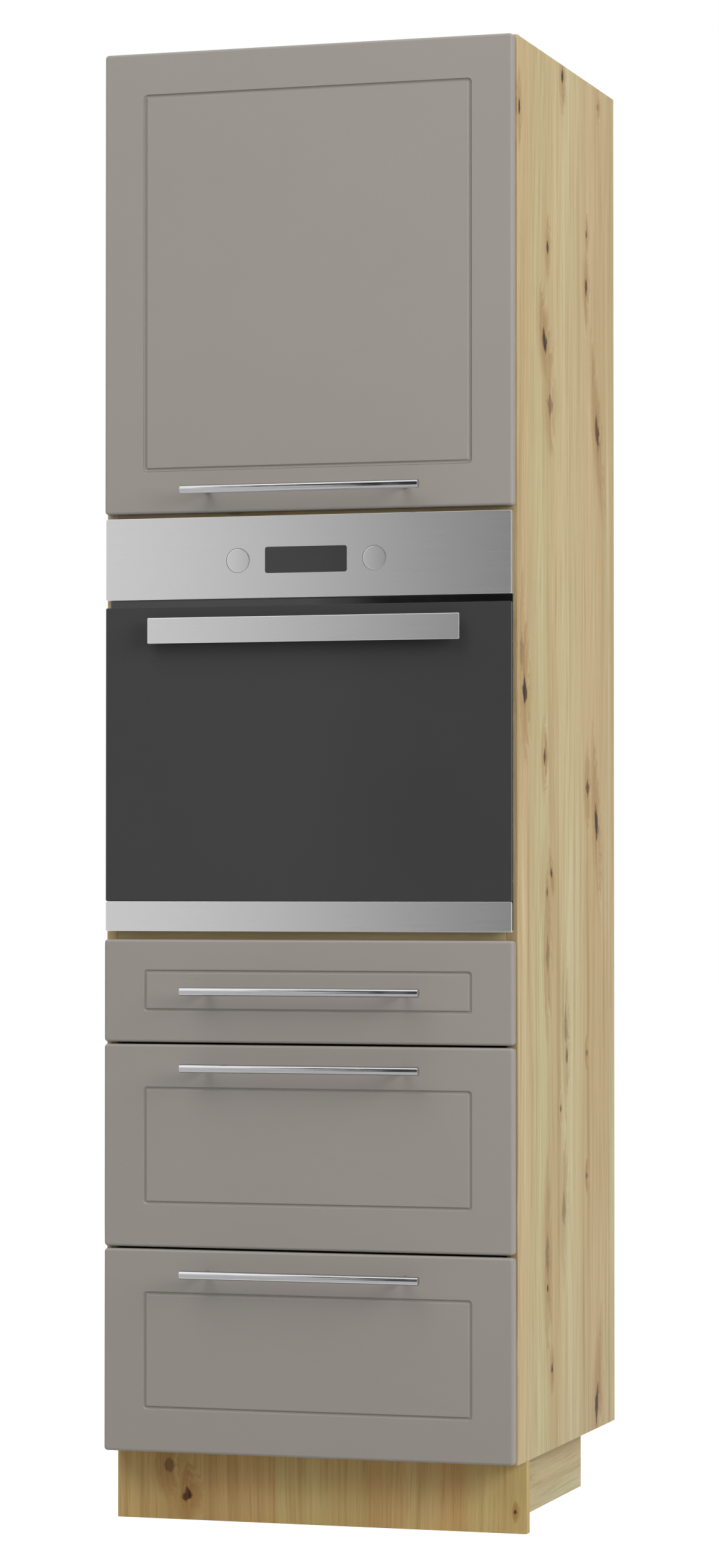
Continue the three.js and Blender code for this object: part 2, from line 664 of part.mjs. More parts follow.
function drawer(name, bottom, frontHeight, rail, sideHeight, handleZ) {
  const runnerZ = bottom + RUNNER_RISE;
  const front = [0, 0, bottom + frontHeight / 2];
  return grouped([0, 0, 0], [
    piece(`${name}_front`, "lacquer", milledFront(frontHeight, rail), front),
    piece(`${name}_handle`, "chrome", barHandle(), [0, 0, handleZ]),
    piece(`${name}_side_left`, "greySteel", drawerSide(-1, sideHeight), [0, 0, runnerZ]),
    piece(`${name}_side_right`, "greySteel", drawerSide(1, sideHeight), [0, 0, runnerZ]),
    piece(`${name}_base`, "drawerBoard", drawerBase(sideHeight), [0, 0, runnerZ]),
    piece(`${name}_runner_left`, "greySteel", cabinetRunner(-1), [0, 0, runnerZ]),
    piece(`${name}_runner_right`, "greySteel", cabinetRunner(1), [0, 0, runnerZ]),
  ]);
}

function drawers() {
  const deep = (name, bottom) => {
    const handleZ = bottom + DEEP_FRONT - DRAWER_HANDLE_DROP;
    return drawer(name, bottom, DEEP_FRONT, FRAME_RAIL, DEEP_SIDE, handleZ);
  };
  const middle = topDrawer + SHALLOW_FRONT / 2;
  return grouped([0, 0, 0], [
    deep("drawer_low", lowDrawer),
    deep("drawer_mid", midDrawer),
    drawer("drawer_top", topDrawer, SHALLOW_FRONT, SHALLOW_RAIL, SHALLOW_SIDE, middle),
  ]);
}

// ---- Flap and its fittings -------------------------------------------------------

const hingeX = FRONT_WIDTH / 2 - HINGE_FROM_EDGE;
const cupZ = flapTop - CUP_DROP;

function flapFront() {
  const middle = (flapBottom + flapTop) / 2;
  const depth = [FRONT_BACK - CUP_DEPTH - SEAT, FRONT_BACK + 1];
  const bores = [-1, 1].map((side) =>
    rodAlongY(CUP_RADIUS + SEAT, [side * hingeX, cupZ - middle], depth, CUP_SIDES),
  );
  return cut(milledFront(flapTop - flapBottom, FRAME_RAIL), ...bores);
}

// A pressed cup that fills the bore, with its screw plate on the flap's back.
function hingeCup() {
  const [plateWidth, plateHeight, plateThickness] = CUP_PLATE;
  const rim = FRONT_BACK + plateThickness;
  const floor = FRONT_BACK - CUP_DEPTH;
  const half = plateHeight / 2;
  const body = turned(
    [
      [0, floor],
      [CUP_RADIUS, floor],
      [CUP_RADIUS, rim],
      [0, rim],
    ],
    CUP_SIDES,
  );
  const plate = roundedPlate(across(plateWidth / 2), across(half), half - 1, [FRONT_BACK, rim], 5);
  const hollow = rodAlongY(CUP_RADIUS - CUP_WALL, [0, 0], [floor + CUP_WALL, rim + 1], CUP_SIDES);
  return cut(join(body, plate), hollow);
}

// The hinge arm under the top panel, its nose forked round the link.
function hingeArm() {
  const [y, z] = [flapAxis[0] + LINK_BASE[0], flapAxis[1] + LINK_BASE[1]];
  const underside = CABINET_TOP - BOARD;
  const [plateWidth, plateLength, plateThickness] = ARM_PLATE;
  const armTop = underside - plateThickness;
  const outline = new THREE.Shape();
  outline.moveTo(ARM_LENGTH, armTop);
  outline.lineTo(ARM_LENGTH, armTop - ARM_HEIGHT);
  outline.lineTo(y, z - ARM_NOSE);
  outline.absarc(y, z, ARM_NOSE, -Math.PI / 2, -1.5 * Math.PI, true);
  outline.lineTo(y + 2.5 * ARM_NOSE, z + ARM_NOSE);
  outline.lineTo(y + 5 * ARM_NOSE, armTop);
  const arm = pushAlongX(outline, across(ARM_WIDTH / 2));
  const plateEnd = ARM_LENGTH - ARM_HEIGHT;
  const yPlate = [plateEnd - plateLength, plateEnd];
  const plate = block(across(plateWidth / 2), yPlate, [armTop, underside]);
  const fork = block(
    across(LINK_WIDTH / 2 + SEAT),
    [y - 2 * ARM_NOSE, y + HEEL_LENGTH],
    [z - 2 * ARM_NOSE, z + 2 * ARM_NOSE],
  );
  return cut(join(arm, plate), fork);
}

// The link between the arm's nose and the cup, with a heel below the pin that balances it.
function hingeLink() {
  const lean = THREE.MathUtils.degToRad(LINK_LEAN);
  const y = flapAxis[0] + LINK_BASE[0];
  const z = flapAxis[1] + LINK_BASE[1];
  const tip = [y + LINK_LENGTH * Math.cos(lean), z + LINK_LENGTH * Math.sin(lean)];
  const heel = [y - HEEL_LENGTH * Math.cos(lean), z - HEEL_LENGTH * Math.sin(lean)];
  const beside = [LINK_RADIUS * Math.sin(lean), -LINK_RADIUS * Math.cos(lean)];
  const outline = new THREE.Shape();
  outline.absarc(heel[0], heel[1], HEEL_RADIUS, lean + Math.PI / 2, lean + 1.5 * Math.PI, false);
  outline.lineTo(y + beside[0], z + beside[1]);
  outline.absarc(tip[0], tip[1], LINK_TIP, lean - Math.PI / 2, lean + Math.PI / 2, false);
  outline.lineTo(y - beside[0], z - beside[1]);
  return pushAlongX(outline, across(LINK_WIDTH / 2));
}

// Pieces of the strut lie along +X before strutPlaced turns them to its line.
function strutPlaced(geometry) {
  const [footY, footZ] = STRUT_FOOT;
  const angle = Math.atan2(STRUT_HEAD[1] - footZ, STRUT_HEAD[0] - footY);
  const turn = new THREE.Matrix4().makeBasis(
    new THREE.Vector3(0, Math.cos(angle), Math.sin(angle)),
    new THREE.Vector3(0, -Math.sin(angle), Math.cos(angle)),
    new THREE.Vector3(1, 0, 0),
  );
  const x = -(INNER - STRUT_INSET);
  return geometry.applyMatrix4(turn).translate(x, flapAxis[0] + footY, flapAxis[1] + footZ);
}

const strutLength = Math.hypot(STRUT_HEAD[0] - STRUT_FOOT[0], STRUT_HEAD[1] - STRUT_FOOT[1]);

// An eye with its axis across the strut, and the neck that joins it to what it ends.
function strutEye(at, neckTo, neckRadius) {
  const ring = new THREE.CylinderGeometry(
    STRUT_EYE_RADIUS, STRUT_EYE_RADIUS, STRUT_EYE_WIDTH, ROUND_SIDES,
  );
  const neck = rodAlongX(neckRadius, [at, neckTo], [0, 0], 12);
  return [ring.rotateX(Math.PI / 2).translate(at, 0, 0), neck];
}

// The tube, open at the rod's end, with the pin that fastens its foot to the cabinet side.
function strutTube() {
  const end = STRUT_TUBE_START + STRUT_TUBE_LENGTH;
  const tube = rodAlongX(STRUT_TUBE_RADIUS, [STRUT_TUBE_START, end], [0, 0]);
  const bore = rodAlongX(
    STRUT_ROD_RADIUS + STRUT_BORE_PLAY,
    [end - STRUT_ROD_HIDDEN - 2, end + 1],
    [0, 0],
    12,
  );
  const pin = new THREE.CylinderGeometry(
    STRUT_STUD_RADIUS, STRUT_STUD_RADIUS, STRUT_INSET - SEAT, 12,
  );
  pin.rotateX(Math.PI / 2).translate(0, 0, -(STRUT_INSET - SEAT) / 2);
  const foot = new THREE.CylinderGeometry(STRUT_TUBE_RADIUS, STRUT_TUBE_RADIUS, 2, ROUND_SIDES);
  foot.rotateX(Math.PI / 2).translate(0, 0, 1 + SEAT - STRUT_INSET);
  const eye = strutEye(0, STRUT_TUBE_START + 1, STRUT_ROD_RADIUS);
  return strutPlaced(cut(join(tube, ...eye, pin, foot), bore));
}

function strutRod() {
  const start = STRUT_TUBE_START + STRUT_TUBE_LENGTH - STRUT_ROD_HIDDEN;
  const rod = rodAlongX(STRUT_ROD_RADIUS, [start, strutLength], [0, 0], 12);
  const eye = strutEye(strutLength, strutLength - 2 * STRUT_EYE_RADIUS, STRUT_ROD_RADIUS);
  return strutPlaced(join(rod, ...eye));
}

// The bracket on the flap's back, whose stud holds the rod's eye from the inner side.
function strutBracket() {
  const [plateWidth, plateHeight, plateThickness] = BRACKET_PLATE;
  const [y, z] = [flapAxis[0] + STRUT_HEAD[0], flapAxis[1] + STRUT_HEAD[1]];
  const eyeSide = -(INNER - STRUT_INSET) + STRUT_EYE_WIDTH / 2 + SEAT;
  const ear = [eyeSide + 4, eyeSide + 4 + plateThickness];
  const yPlate = [FRONT_BACK, FRONT_BACK + plateThickness];
  const zPlate = [z - plateHeight / 2, z + plateHeight / 2];
  const plate = block([ear[0], ear[0] + plateWidth], yPlate, zPlate);
  const web = block(ear, [FRONT_BACK, y], [z - STRUT_EYE_RADIUS, z + STRUT_EYE_RADIUS]);
  const nose = rodAlongX(STRUT_EYE_RADIUS, ear, [y, z]);
  const stud = rodAlongX(STRUT_STUD_RADIUS, [eyeSide, ear[1]], [y, z], 12);
  return join(plate, web, nose, stud);
}

function flap() {
  const middle = (flapBottom + flapTop) / 2;
  const hinges = [
    ["left", -hingeX],
    ["right", hingeX],
  ].flatMap(([name, x]) => [
    piece(`hinge_cup_${name}`, "nickel", hingeCup(), [x, 0, cupZ]),
    piece(`hinge_arm_${name}`, "nickel", hingeArm(), [x, 0, 0]),
    piece(`hinge_link_${name}`, "nickel", hingeLink(), [x, 0, 0]),
  ]);
  return grouped([0, 0, 0], [
    piece("flap_front", "lacquer", flapFront(), [0, 0, middle]),
    piece("flap_handle", "chrome", barHandle(), [0, 0, flapBottom + FLAP_HANDLE_RISE]),
    ...hinges,
    piece("strut_tube", "strutBlack", strutTube()),
    piece("strut_rod", "chrome", strutRod()),
    piece("strut_bracket", "zinc", strutBracket()),
  ]);
}

// ---- Oven: fixed pieces ----------------------------------------------------------

// The casing: a box with a front plate that laps the cabinet's edges, a mouth for the
// cavity, holes for the knobs' spindles, and the two hinge arms of the door.
function ovenCasing() {
  const box = block(across(CASING_HALF), [PLATE_FRONT, CASING_DEPTH], [0, CASING_TOP]);
  const hollow = block(
    across(CASING_HALF - OVEN_SHEET),
    [PLATE_BACK, CASING_DEPTH - OVEN_SHEET],
    [OVEN_SHEET, CASING_TOP - OVEN_SHEET],
  );
  const plate = block(
    across(OVEN_HALF - CASING_FLANGE_INSET),
    [PLATE_FRONT, PLATE_BACK],
    [1, OVEN_TOP - 1],
  );
  const arms = [-1, 1].flatMap((side) => {
    const half = OVEN_HINGE_WIDTH / 2;
    const x = [side * OVEN_HINGE_X - half, side * OVEN_HINGE_X + half];
    const [y, z] = OVEN_PIVOT;
    const bar = block(x, [y, PLATE_BACK], [z - OVEN_HINGE_RADIUS, z + OVEN_HINGE_RADIUS]);
    return [bar, rodAlongX(OVEN_HINGE_RADIUS, x, [y, z])];
  });
  const through = [PLATE_FRONT - 1, PLATE_BACK + 1];
  const mouth = block(across(MOUTH_HALF_WIDTH), through, [MOUTH_LOW, DOOR_TOP - MOUTH_TOP_DROP]);
  const holes = [-1, 1].map((side) =>
    rodAlongY(SPINDLE_HOLE, [(side * KNOB_SPACING) / 2, KNOB_Z], through),
  );
  return cut(join(cut(box, hollow), plate, ...arms), mouth, ...holes, ...coolingSlots());
}

// Rows of slots through the casing's back.
function coolingSlots() {
  const [length, height] = COOLING_SLOT;
  const through = [CASING_DEPTH - OVEN_SHEET - 1, CASING_DEPTH + 1];
  const slots = [];
  for (let row = 0; row < 3; row++) {
    for (const column of [-1, 0, 1]) {
      const slot = block(across(length / 2), through, across(height / 2));
      const z = CASING_TOP - COOLING_DROP - row * COOLING_PITCH[1];
      slots.push(slot.translate(column * COOLING_PITCH[0], 0, z));
    }
  }
  return slots;
}

// The enamelled liner, with pressed ribs that carry the rack and a flange at its mouth.
function ovenCavity() {
  const half = CAVITY_WIDTH / 2;
  const zRange = [CAVITY_RISE, CAVITY_RISE + CAVITY_HEIGHT];
  const outerZ = [zRange[0] - OVEN_SHEET, zRange[1] + OVEN_SHEET];
  const back = CAVITY_FRONT + CAVITY_DEPTH;
  const outer = roundedPlate(
    across(half + OVEN_SHEET), outerZ, CAVITY_CORNER + OVEN_SHEET, [CAVITY_FRONT, back + OVEN_SHEET],
  );
  const flangeY = [CAVITY_FRONT, CAVITY_FRONT + OVEN_SHEET];
  const flangeHalf = CASING_HALF - OVEN_SHEET - SEAT;
  const flange = block(across(flangeHalf), flangeY, [OVEN_SHEET + SEAT, DOOR_TOP]);
  const inner = roundedPlate(across(half), zRange, CAVITY_CORNER, [CAVITY_FRONT - 1, back]);
  const ribs = [];
  for (const side of [-1, 1]) {
    for (let level = 0; level < RIB_LEVELS; level++) {
      const top = CAVITY_RISE + RIB_FIRST + level * RIB_PITCH;
      const x = [side * (half - RIB_REACH), side * (half + OVEN_SHEET / 2)];
      const y = [CAVITY_FRONT + RIB_ENDS[0], back - RIB_ENDS[1]];
      ribs.push(block(x, y, [top - RIB_THICKNESS, top]));
    }
  }
  return join(cut(join(outer, flange), inner), ...ribs);
}

function ovenRack() {
  const half = CAVITY_WIDTH / 2 - RACK_SIDE_GAP - RACK_WIRE;
  const front = CAVITY_FRONT + RACK_FRONT_GAP + RACK_WIRE;
  const rear = front + RACK_DEPTH - 2 * RACK_WIRE;
  const z = CAVITY_RISE + RIB_FIRST + (RACK_LEVEL - 1) * RIB_PITCH + RACK_WIRE + SEAT;
  const runs = [-1, 1].flatMap((side) => [
    rodAlongY(RACK_WIRE, [side * half, z], [front - RACK_WIRE, rear + RACK_WIRE], 8),
    rodAlongX(RACK_WIRE, across(half), [side < 0 ? front : rear, z], 8),
  ]);
  const bars = [];
  for (let bar = 1; bar <= RACK_BARS; bar++) {
    const x = -half + (2 * half * bar) / (RACK_BARS + 1);
    bars.push(rodAlongY(RACK_BAR, [x, z + RACK_BAR / 2], [front, rear], 6));
  }
  return join(...runs, ...bars);
}

function ovenSeal() {
  const half = CAVITY_WIDTH / 2 + SEAL_MARGIN;
  const zRange = [CAVITY_RISE - SEAL_MARGIN, CAVITY_RISE + CAVITY_HEIGHT + SEAL_MARGIN];
  const grown = [zRange[0] - SEAL_WIDTH, zRange[1] + SEAL_WIDTH];
  const corner = CAVITY_CORNER + SEAL_MARGIN;
  const yRange = [PLUG_BACK + SEAT, CAVITY_FRONT];
  const ring = roundedPlate(across(half + SEAL_WIDTH), grown, corner + SEAL_WIDTH, yRange);
  return cut(ring, roundedPlate(across(half), zRange, corner, [yRange[0] - 1, yRange[1] + 1]));
}

// The steel fascia: a shallow tray, open behind, with holes for two knobs and a display.
function controlPanel() {
  const width = OVEN_FRONT_WIDTH;
  const yRange = [OVEN_FACE, OVEN_FACE + PANEL_DEPTH];
  const middle = PANEL_LOW + PANEL_HEIGHT / 2;
  const tray = softEdgedBoard(width, PANEL_HEIGHT, 2, 0.8, yRange, 2).translate(0, 0, middle);
  const hollow = block(
    across(OVEN_HALF - OVEN_SHEET),
    [OVEN_FACE + OVEN_SHEET, yRange[1] + 1],
    [PANEL_LOW + OVEN_SHEET, OVEN_TOP - OVEN_SHEET],
  );
  const through = [OVEN_FACE - 1, OVEN_FACE + OVEN_SHEET + 1];
  const holes = [-1, 1].map((side) =>
    rodAlongY(KNOB_RADIUS + KNOB_PLAY, [(side * KNOB_SPACING) / 2, KNOB_Z], through, 32),
  );
  return cut(tray, hollow, ...holes, displayPlate(SEAT, through));
}

// A round-cornered plate of the display's size, grown by a margin.
function displayPlate(margin, yRange) {
  const halfWidth = DISPLAY_WIDTH / 2 + margin;
  const halfHeight = DISPLAY_HEIGHT / 2 + margin;
  const zRange = [KNOB_Z - halfHeight, KNOB_Z + halfHeight];
  return roundedPlate(across(halfWidth), zRange, DISPLAY_CORNER + margin, yRange);
}

// The display window, flush with the panel, with its rim behind and its housing.
function display() {
  const rimFront = OVEN_FACE + OVEN_SHEET + SEAT;
  const rimBack = rimFront + 2.5;
  return join(
    displayPlate(0, [OVEN_FACE, rimBack]),
    displayPlate(DISPLAY_RIM, [rimFront, rimBack]),
    displayPlate(-DISPLAY_CORNER, [rimBack - 1, PLATE_FRONT - SEAT]),
  );
}

// A push-pull knob, flush with the panel: a cap with a hollow hub on its spindle.
function knob() {
  const face = OVEN_FACE;
  const skirt = face + KNOB_DEPTH;
  return turned(
    [
      [0, face],
      [KNOB_RADIUS - 0.6, face],
      [KNOB_RADIUS, face + 0.6],
      [KNOB_RADIUS, skirt],
      [KNOB_RADIUS - 1.5, skirt],
      [KNOB_RADIUS - 1.5, face + 2],
      [2 * SPINDLE_RADIUS, face + 2],
      [2 * SPINDLE_RADIUS, skirt + 2],
      [SPINDLE_RADIUS + SEAT, skirt + 2],
      [SPINDLE_RADIUS + SEAT, face + 5],
      [0, face + 5],
    ],
    32,
  );
}

function spindle() {
  const disc = 3 * SPINDLE_RADIUS;
  return turned(
    [
      [0, OVEN_FACE + 5 + SEAT],
      [SPINDLE_RADIUS, OVEN_FACE + 5 + SEAT],
      [SPINDLE_RADIUS, SPINDLE_REACH - 4],
      [disc, SPINDLE_REACH - 4],
      [disc, SPINDLE_REACH],
      [0, SPINDLE_REACH],
    ],
    ROUND_SIDES,
  );
}

// ---- Oven: the drop-down door ----------------------------------------------------

// The slots that let the door swing past the casing's hinge arms.
function hingeSlots() {
  return [-1, 1].map((side) => {
    const x = side * OVEN_HINGE_X;
    const half = OVEN_HINGE_SLOT / 2;
    const top = OVEN_PIVOT[1] + OVEN_HINGE_RADIUS + 2;
    return block([x - half, x + half], [OVEN_FACE + 2.5, PAN_BACK + 1], [-1, top]);
  });
}

// The sheet steel pan behind the glass, stepped to plug the oven's mouth, with a frame
// round the window that closes the gap between the panes.
function doorPan() {
  const half = OVEN_HALF - PAN_SIDE_INSET;
  const wall = OVEN_SHEET;
  const plugTop = DOOR_TOP - PLUG_TOP_DROP;
  const rebate = PLUG_BACK - INNER_GLASS_REBATE;
  const rim = block(across(half), [PAN_FRONT, PAN_BACK], [PAN_LOW, DOOR_TOP - 2]);
  const plug = block(across(PLUG_HALF_WIDTH), [PAN_BACK - 1, PLUG_BACK], [PLUG_LOW, plugTop]);
  const rimHollow = block(
    across(half - wall), [PAN_FRONT - 1, PAN_BACK - wall], [PAN_LOW + wall, DOOR_TOP - 2 - wall],
  );
  const plugHollow = block(
    across(PLUG_HALF_WIDTH - wall), [PAN_FRONT, rebate - wall], [PLUG_LOW + wall, plugTop - wall],
  );
  const [low, high] = WINDOW_RISE;
  const frame = block(
    across(WINDOW_HALF_WIDTH + wall), [PAN_FRONT, rebate - wall / 2], [low - wall, high + wall],
  );
  const window = block(across(WINDOW_HALF_WIDTH), [PAN_FRONT - 1, PLUG_BACK + 1], WINDOW_RISE);
  const seat = block(across(INNER_GLASS_HALF_WIDTH), [rebate, PLUG_BACK + 1], INNER_GLASS_RISE);
  const shell = cut(join(rim, plug), rimHollow, plugHollow);
  return cut(join(shell, frame), window, seat, ...hingeSlots());
}

function doorGlass() {
  const height = DOOR_TOP - STRIP_HEIGHT - SEAT;
  const yRange = [OVEN_FACE, GLASS_BACK];
  const pane = softEdgedBoard(OVEN_FRONT_WIDTH, height, GLASS_CORNER, 0.8, yRange, 2);
  return pane.translate(0, 0, DOOR_TOP - height / 2);
}

function innerGlass() {
  const [low, high] = INNER_GLASS_RISE;
  const rebate = PLUG_BACK - INNER_GLASS_REBATE;
  const yRange = [rebate + SEAT, PLUG_BACK - SEAT];
  return block(across(INNER_GLASS_HALF_WIDTH - SEAT), yRange, [low + SEAT, high - SEAT]);
}

// The steel strip under the glass: a folded channel, notched for the hinge arms.
function doorStrip() {
  const wall = SHEET;
  const yRange = [OVEN_FACE, OVEN_FACE + STRIP_DEPTH];
  const channel = softEdgedBoard(OVEN_FRONT_WIDTH, STRIP_HEIGHT, 2, 0.8, yRange, 2);
  channel.translate(0, 0, STRIP_HEIGHT / 2);
  const hollow = block(
    across(OVEN_HALF - wall), [OVEN_FACE + wall, yRange[1] + 1], [wall, STRIP_HEIGHT - wall],
  );
  const upper = block(
    across(OVEN_HALF + 1), [PAN_FRONT - SEAT, yRange[1] + 1], [2 * wall, STRIP_HEIGHT + 1],
  );
  return cut(channel, hollow, upper, ...hingeSlots());
}

function doorHandle() {
  const back = OVEN_FACE - OVEN_HANDLE_STANDOFF;
  const front = back - OVEN_HANDLE_THICKNESS;
  const z = DOOR_TOP - OVEN_HANDLE_DROP;
  const bar = softEdgedBoard(OVEN_HANDLE_LENGTH, OVEN_HANDLE_HEIGHT, 1.5, 1, [front, back], 2);
  const posts = [-1, 1].map((side) =>
    rodAlongY(OVEN_POST_RADIUS, [(side * OVEN_POST_SPACING) / 2, z], [back - 1, OVEN_FACE]),
  );
  return join(bar.translate(0, 0, z), ...posts);
}

function oven() {
  const knobs = [
    ["left", -KNOB_SPACING / 2],
    ["right", KNOB_SPACING / 2],
  ].flatMap(([name, x]) => [
    piece(`oven_knob_${name}`, "brushedSteel", knob(), [x, 0, KNOB_Z]),
    piece(`oven_spindle_${name}`, "zinc", spindle(), [x, 0, KNOB_Z]),
  ]);
  return grouped([0, 0, nicheFloor], [
    piece("oven_casing", "zinc", ovenCasing()),
    piece("oven_cavity", "enamel", ovenCavity()),
    piece("oven_rack", "chrome", ovenRack()),
    piece("oven_seal", "silicone", ovenSeal()),
    piece("oven_control_panel", "brushedSteel", controlPanel()),
    piece("oven_display", "display", display()),
    ...knobs,
    piece("oven_door_pan", "blackSteel", doorPan()),
    piece("oven_door_glass", "blackGlass", doorGlass()),
    piece("oven_door_inner_glass", "clearGlass", innerGlass()),
    piece("oven_door_strip", "brushedSteel", doorStrip()),
    piece("oven_door_handle", "brushedSteel", doorHandle()),
  ]);
}

// ---- The whole unit --------------------------------------------------------------

// From here the cabinet's front edge lies ahead of the origin, so that the origin is
// halfway between the foremost point of the handles and the cabinet's back.
const unit = grouped([0, -(FOREMOST + DEPTH) / 2, 0], [
  cabinet(),
  plinth(),
  drawers(),
  flap(),
  oven(),
]);

export default unit;
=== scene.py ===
# Tall oven housing unit, dressed for the photograph's view: a foil-faced cabinet on a
# plinth frame, three drawers, a built-in oven and a lift-up flap. Metres, +Z up, the
# front towards -Y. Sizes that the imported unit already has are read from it.
import json
import math

import bmesh
import bpy
from mathutils import Matrix, Vector


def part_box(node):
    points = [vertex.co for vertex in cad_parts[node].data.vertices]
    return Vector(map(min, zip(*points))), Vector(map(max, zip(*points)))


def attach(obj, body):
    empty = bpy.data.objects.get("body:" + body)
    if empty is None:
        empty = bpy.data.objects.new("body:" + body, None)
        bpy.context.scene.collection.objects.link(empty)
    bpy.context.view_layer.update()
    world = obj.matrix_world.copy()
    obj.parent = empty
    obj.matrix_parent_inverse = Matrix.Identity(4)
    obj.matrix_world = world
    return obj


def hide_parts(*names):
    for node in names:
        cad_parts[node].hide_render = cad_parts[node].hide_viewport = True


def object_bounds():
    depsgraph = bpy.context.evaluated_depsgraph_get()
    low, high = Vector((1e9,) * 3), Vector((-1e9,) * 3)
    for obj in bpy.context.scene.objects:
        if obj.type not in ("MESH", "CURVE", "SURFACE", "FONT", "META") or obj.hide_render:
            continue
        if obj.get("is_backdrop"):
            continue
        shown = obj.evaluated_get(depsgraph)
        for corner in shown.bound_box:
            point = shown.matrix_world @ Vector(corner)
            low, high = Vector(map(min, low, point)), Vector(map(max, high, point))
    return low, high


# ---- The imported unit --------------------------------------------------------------
# The rigid unit as it was drawn, with its bodies, nodes and outer box.
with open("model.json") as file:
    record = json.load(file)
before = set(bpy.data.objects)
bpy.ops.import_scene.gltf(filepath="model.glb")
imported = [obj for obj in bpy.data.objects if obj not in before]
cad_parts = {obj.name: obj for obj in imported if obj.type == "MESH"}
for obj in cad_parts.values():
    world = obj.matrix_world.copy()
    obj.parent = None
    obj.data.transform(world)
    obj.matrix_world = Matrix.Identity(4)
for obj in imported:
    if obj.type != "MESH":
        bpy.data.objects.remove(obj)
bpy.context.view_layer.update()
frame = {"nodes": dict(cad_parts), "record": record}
nodes = frame["nodes"]
scene = bpy.context.scene


# ---- Camera -----------------------------------------------------------------------
# The photograph was taken from the right of the unit, a little above the drawers, with
# a long lens between six and seven metres away.
CAMERA_PLACE = Vector((1.9251, -6.2762, 0.9038))
CAMERA_YAW = -0.2981
CAMERA_PITCH = 0.0210
CAMERA_LENS = 104.22
CAMERA_REACH = 100

camera = bpy.data.objects.new("camera", bpy.data.cameras.new("camera"))
scene.collection.objects.link(camera)
sight = Vector((
    math.sin(CAMERA_YAW) * math.cos(CAMERA_PITCH),
    math.cos(CAMERA_YAW) * math.cos(CAMERA_PITCH),
    math.sin(CAMERA_PITCH),
))
camera.location = CAMERA_PLACE
camera.rotation_euler = sight.to_track_quat("-Z", "Y").to_euler()
camera.data.lens = CAMERA_LENS
camera.data.clip_end = CAMERA_REACH
scene.camera = camera
scene.view_settings.view_transform = "Standard"


# ---- Studio -----------------------------------------------------------------------
# A pale floor that runs into a white room, lit by large soft boxes. The camera, metal and
# glass see the room white, and less light than that falls on the unit. Bowed cards, pale
# and dark, stand round it for metal and glass alone.
def add_node(tree, kind, inputs=(), **settings):
    """A node of a kind, with its settings, whose inputs are values or other sockets."""
    node = tree.nodes.new("ShaderNode" + kind)
    for name, value in settings.items():
        setattr(node, name, value)
    for socket, value in dict(inputs).items():
        if isinstance(value, bpy.types.NodeSocket):
            tree.links.new(value, node.inputs[socket])
        else:
            node.inputs[socket].default_value = value
    return node


def maths(tree, operation, first, second=0.0, third=0.0):
    """One arithmetic step between sockets or numbers."""
    return add_node(tree, "Math", {0: first, 1: second, 2: third}, operation=operation).outputs[0]


def seen_ray(tree):
    """1 for what the camera, mirrors and glass see directly, and 0 for light that falls."""
    path = add_node(tree, "LightPath").outputs
    shiny = maths(tree, "MAXIMUM", path["Is Glossy Ray"], path["Is Transmission Ray"])
    return maths(tree, "MAXIMUM", path["Is Camera Ray"], shiny)


def glow(tree, strength):
    """White light from a surface."""
    return add_node(tree, "Emission", {"Color": (1, 1, 1, 1), "Strength": strength}).outputs[0]


def stage_paint(name):
    """A material without its shader, its tree, and the input that takes its surface."""
    material = bpy.data.materials.new(name)
    material.use_nodes = True
    tree = material.node_tree
    tree.nodes.remove(tree.nodes["Principled BSDF"])
    return material, tree, tree.nodes["Material Output"].inputs["Surface"]


def stage_piece(name, shape, material):
    """A piece of the studio, which is no part of the unit."""
    mesh = bpy.data.meshes.new(name)
    shape.to_mesh(mesh)
    shape.free()
    mesh.materials.append(material)
    holder = bpy.data.objects.new(name, mesh)
    scene.collection.objects.link(holder)
    holder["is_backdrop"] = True
    return holder


ROOM_FILL = 0.335
room = bpy.data.worlds.new("room")
room.use_nodes = True
scene.world = room
room_tree = room.node_tree
room_light = room_tree.nodes["Background"]
room_light.inputs["Color"].default_value = (1, 1, 1, 1)
room_strength = add_node(room_tree, "MapRange", {0: seen_ray(room_tree), 3: ROOM_FILL, 4: 1.0})
room_tree.links.new(room_strength.outputs[0], room_light.inputs["Strength"])

FLOOR_HALF = 30
FLOOR_GREY = (0.5, 0.5, 0.5, 1)
FLOOR_GLOW = 0.86
floor_shape = bmesh.new()
bmesh.ops.create_grid(floor_shape, x_segments=1, y_segments=1, size=FLOOR_HALF)
floor_paint, floor_tree, floor_surface = stage_paint("floor_paint")
matt = add_node(floor_tree, "BsdfDiffuse", {"Color": FLOOR_GREY})
floor_glow = glow(floor_tree, maths(floor_tree, "MULTIPLY", seen_ray(floor_tree), FLOOR_GLOW))
floor_mix = add_node(floor_tree, "AddShader", {0: matt.outputs[0], 1: floor_glow})
floor_tree.links.new(floor_mix.outputs[0], floor_surface)
stage_piece("floor", floor_shape, floor_paint)

UNIT_MIDDLE = Vector((0, 0, 1.1))


def soft_box(name, azimuth, distance, height, width, tall, power):
    """A lamp that looks at the unit: azimuth 0 is in front, 90 to the right of it."""
    lamp = bpy.data.lights.new(name, "AREA")
    lamp.shape = "RECTANGLE"
    lamp.size, lamp.size_y = width, tall
    lamp.energy = power
    turn = math.radians(azimuth)
    holder = bpy.data.objects.new(name, lamp)
    scene.collection.objects.link(holder)
    holder.location = (distance * math.sin(turn), -distance * math.cos(turn), height)
    holder.rotation_euler = (UNIT_MIDDLE - holder.location).to_track_quat("-Z", "Z").to_euler()
    holder.visible_glossy = False


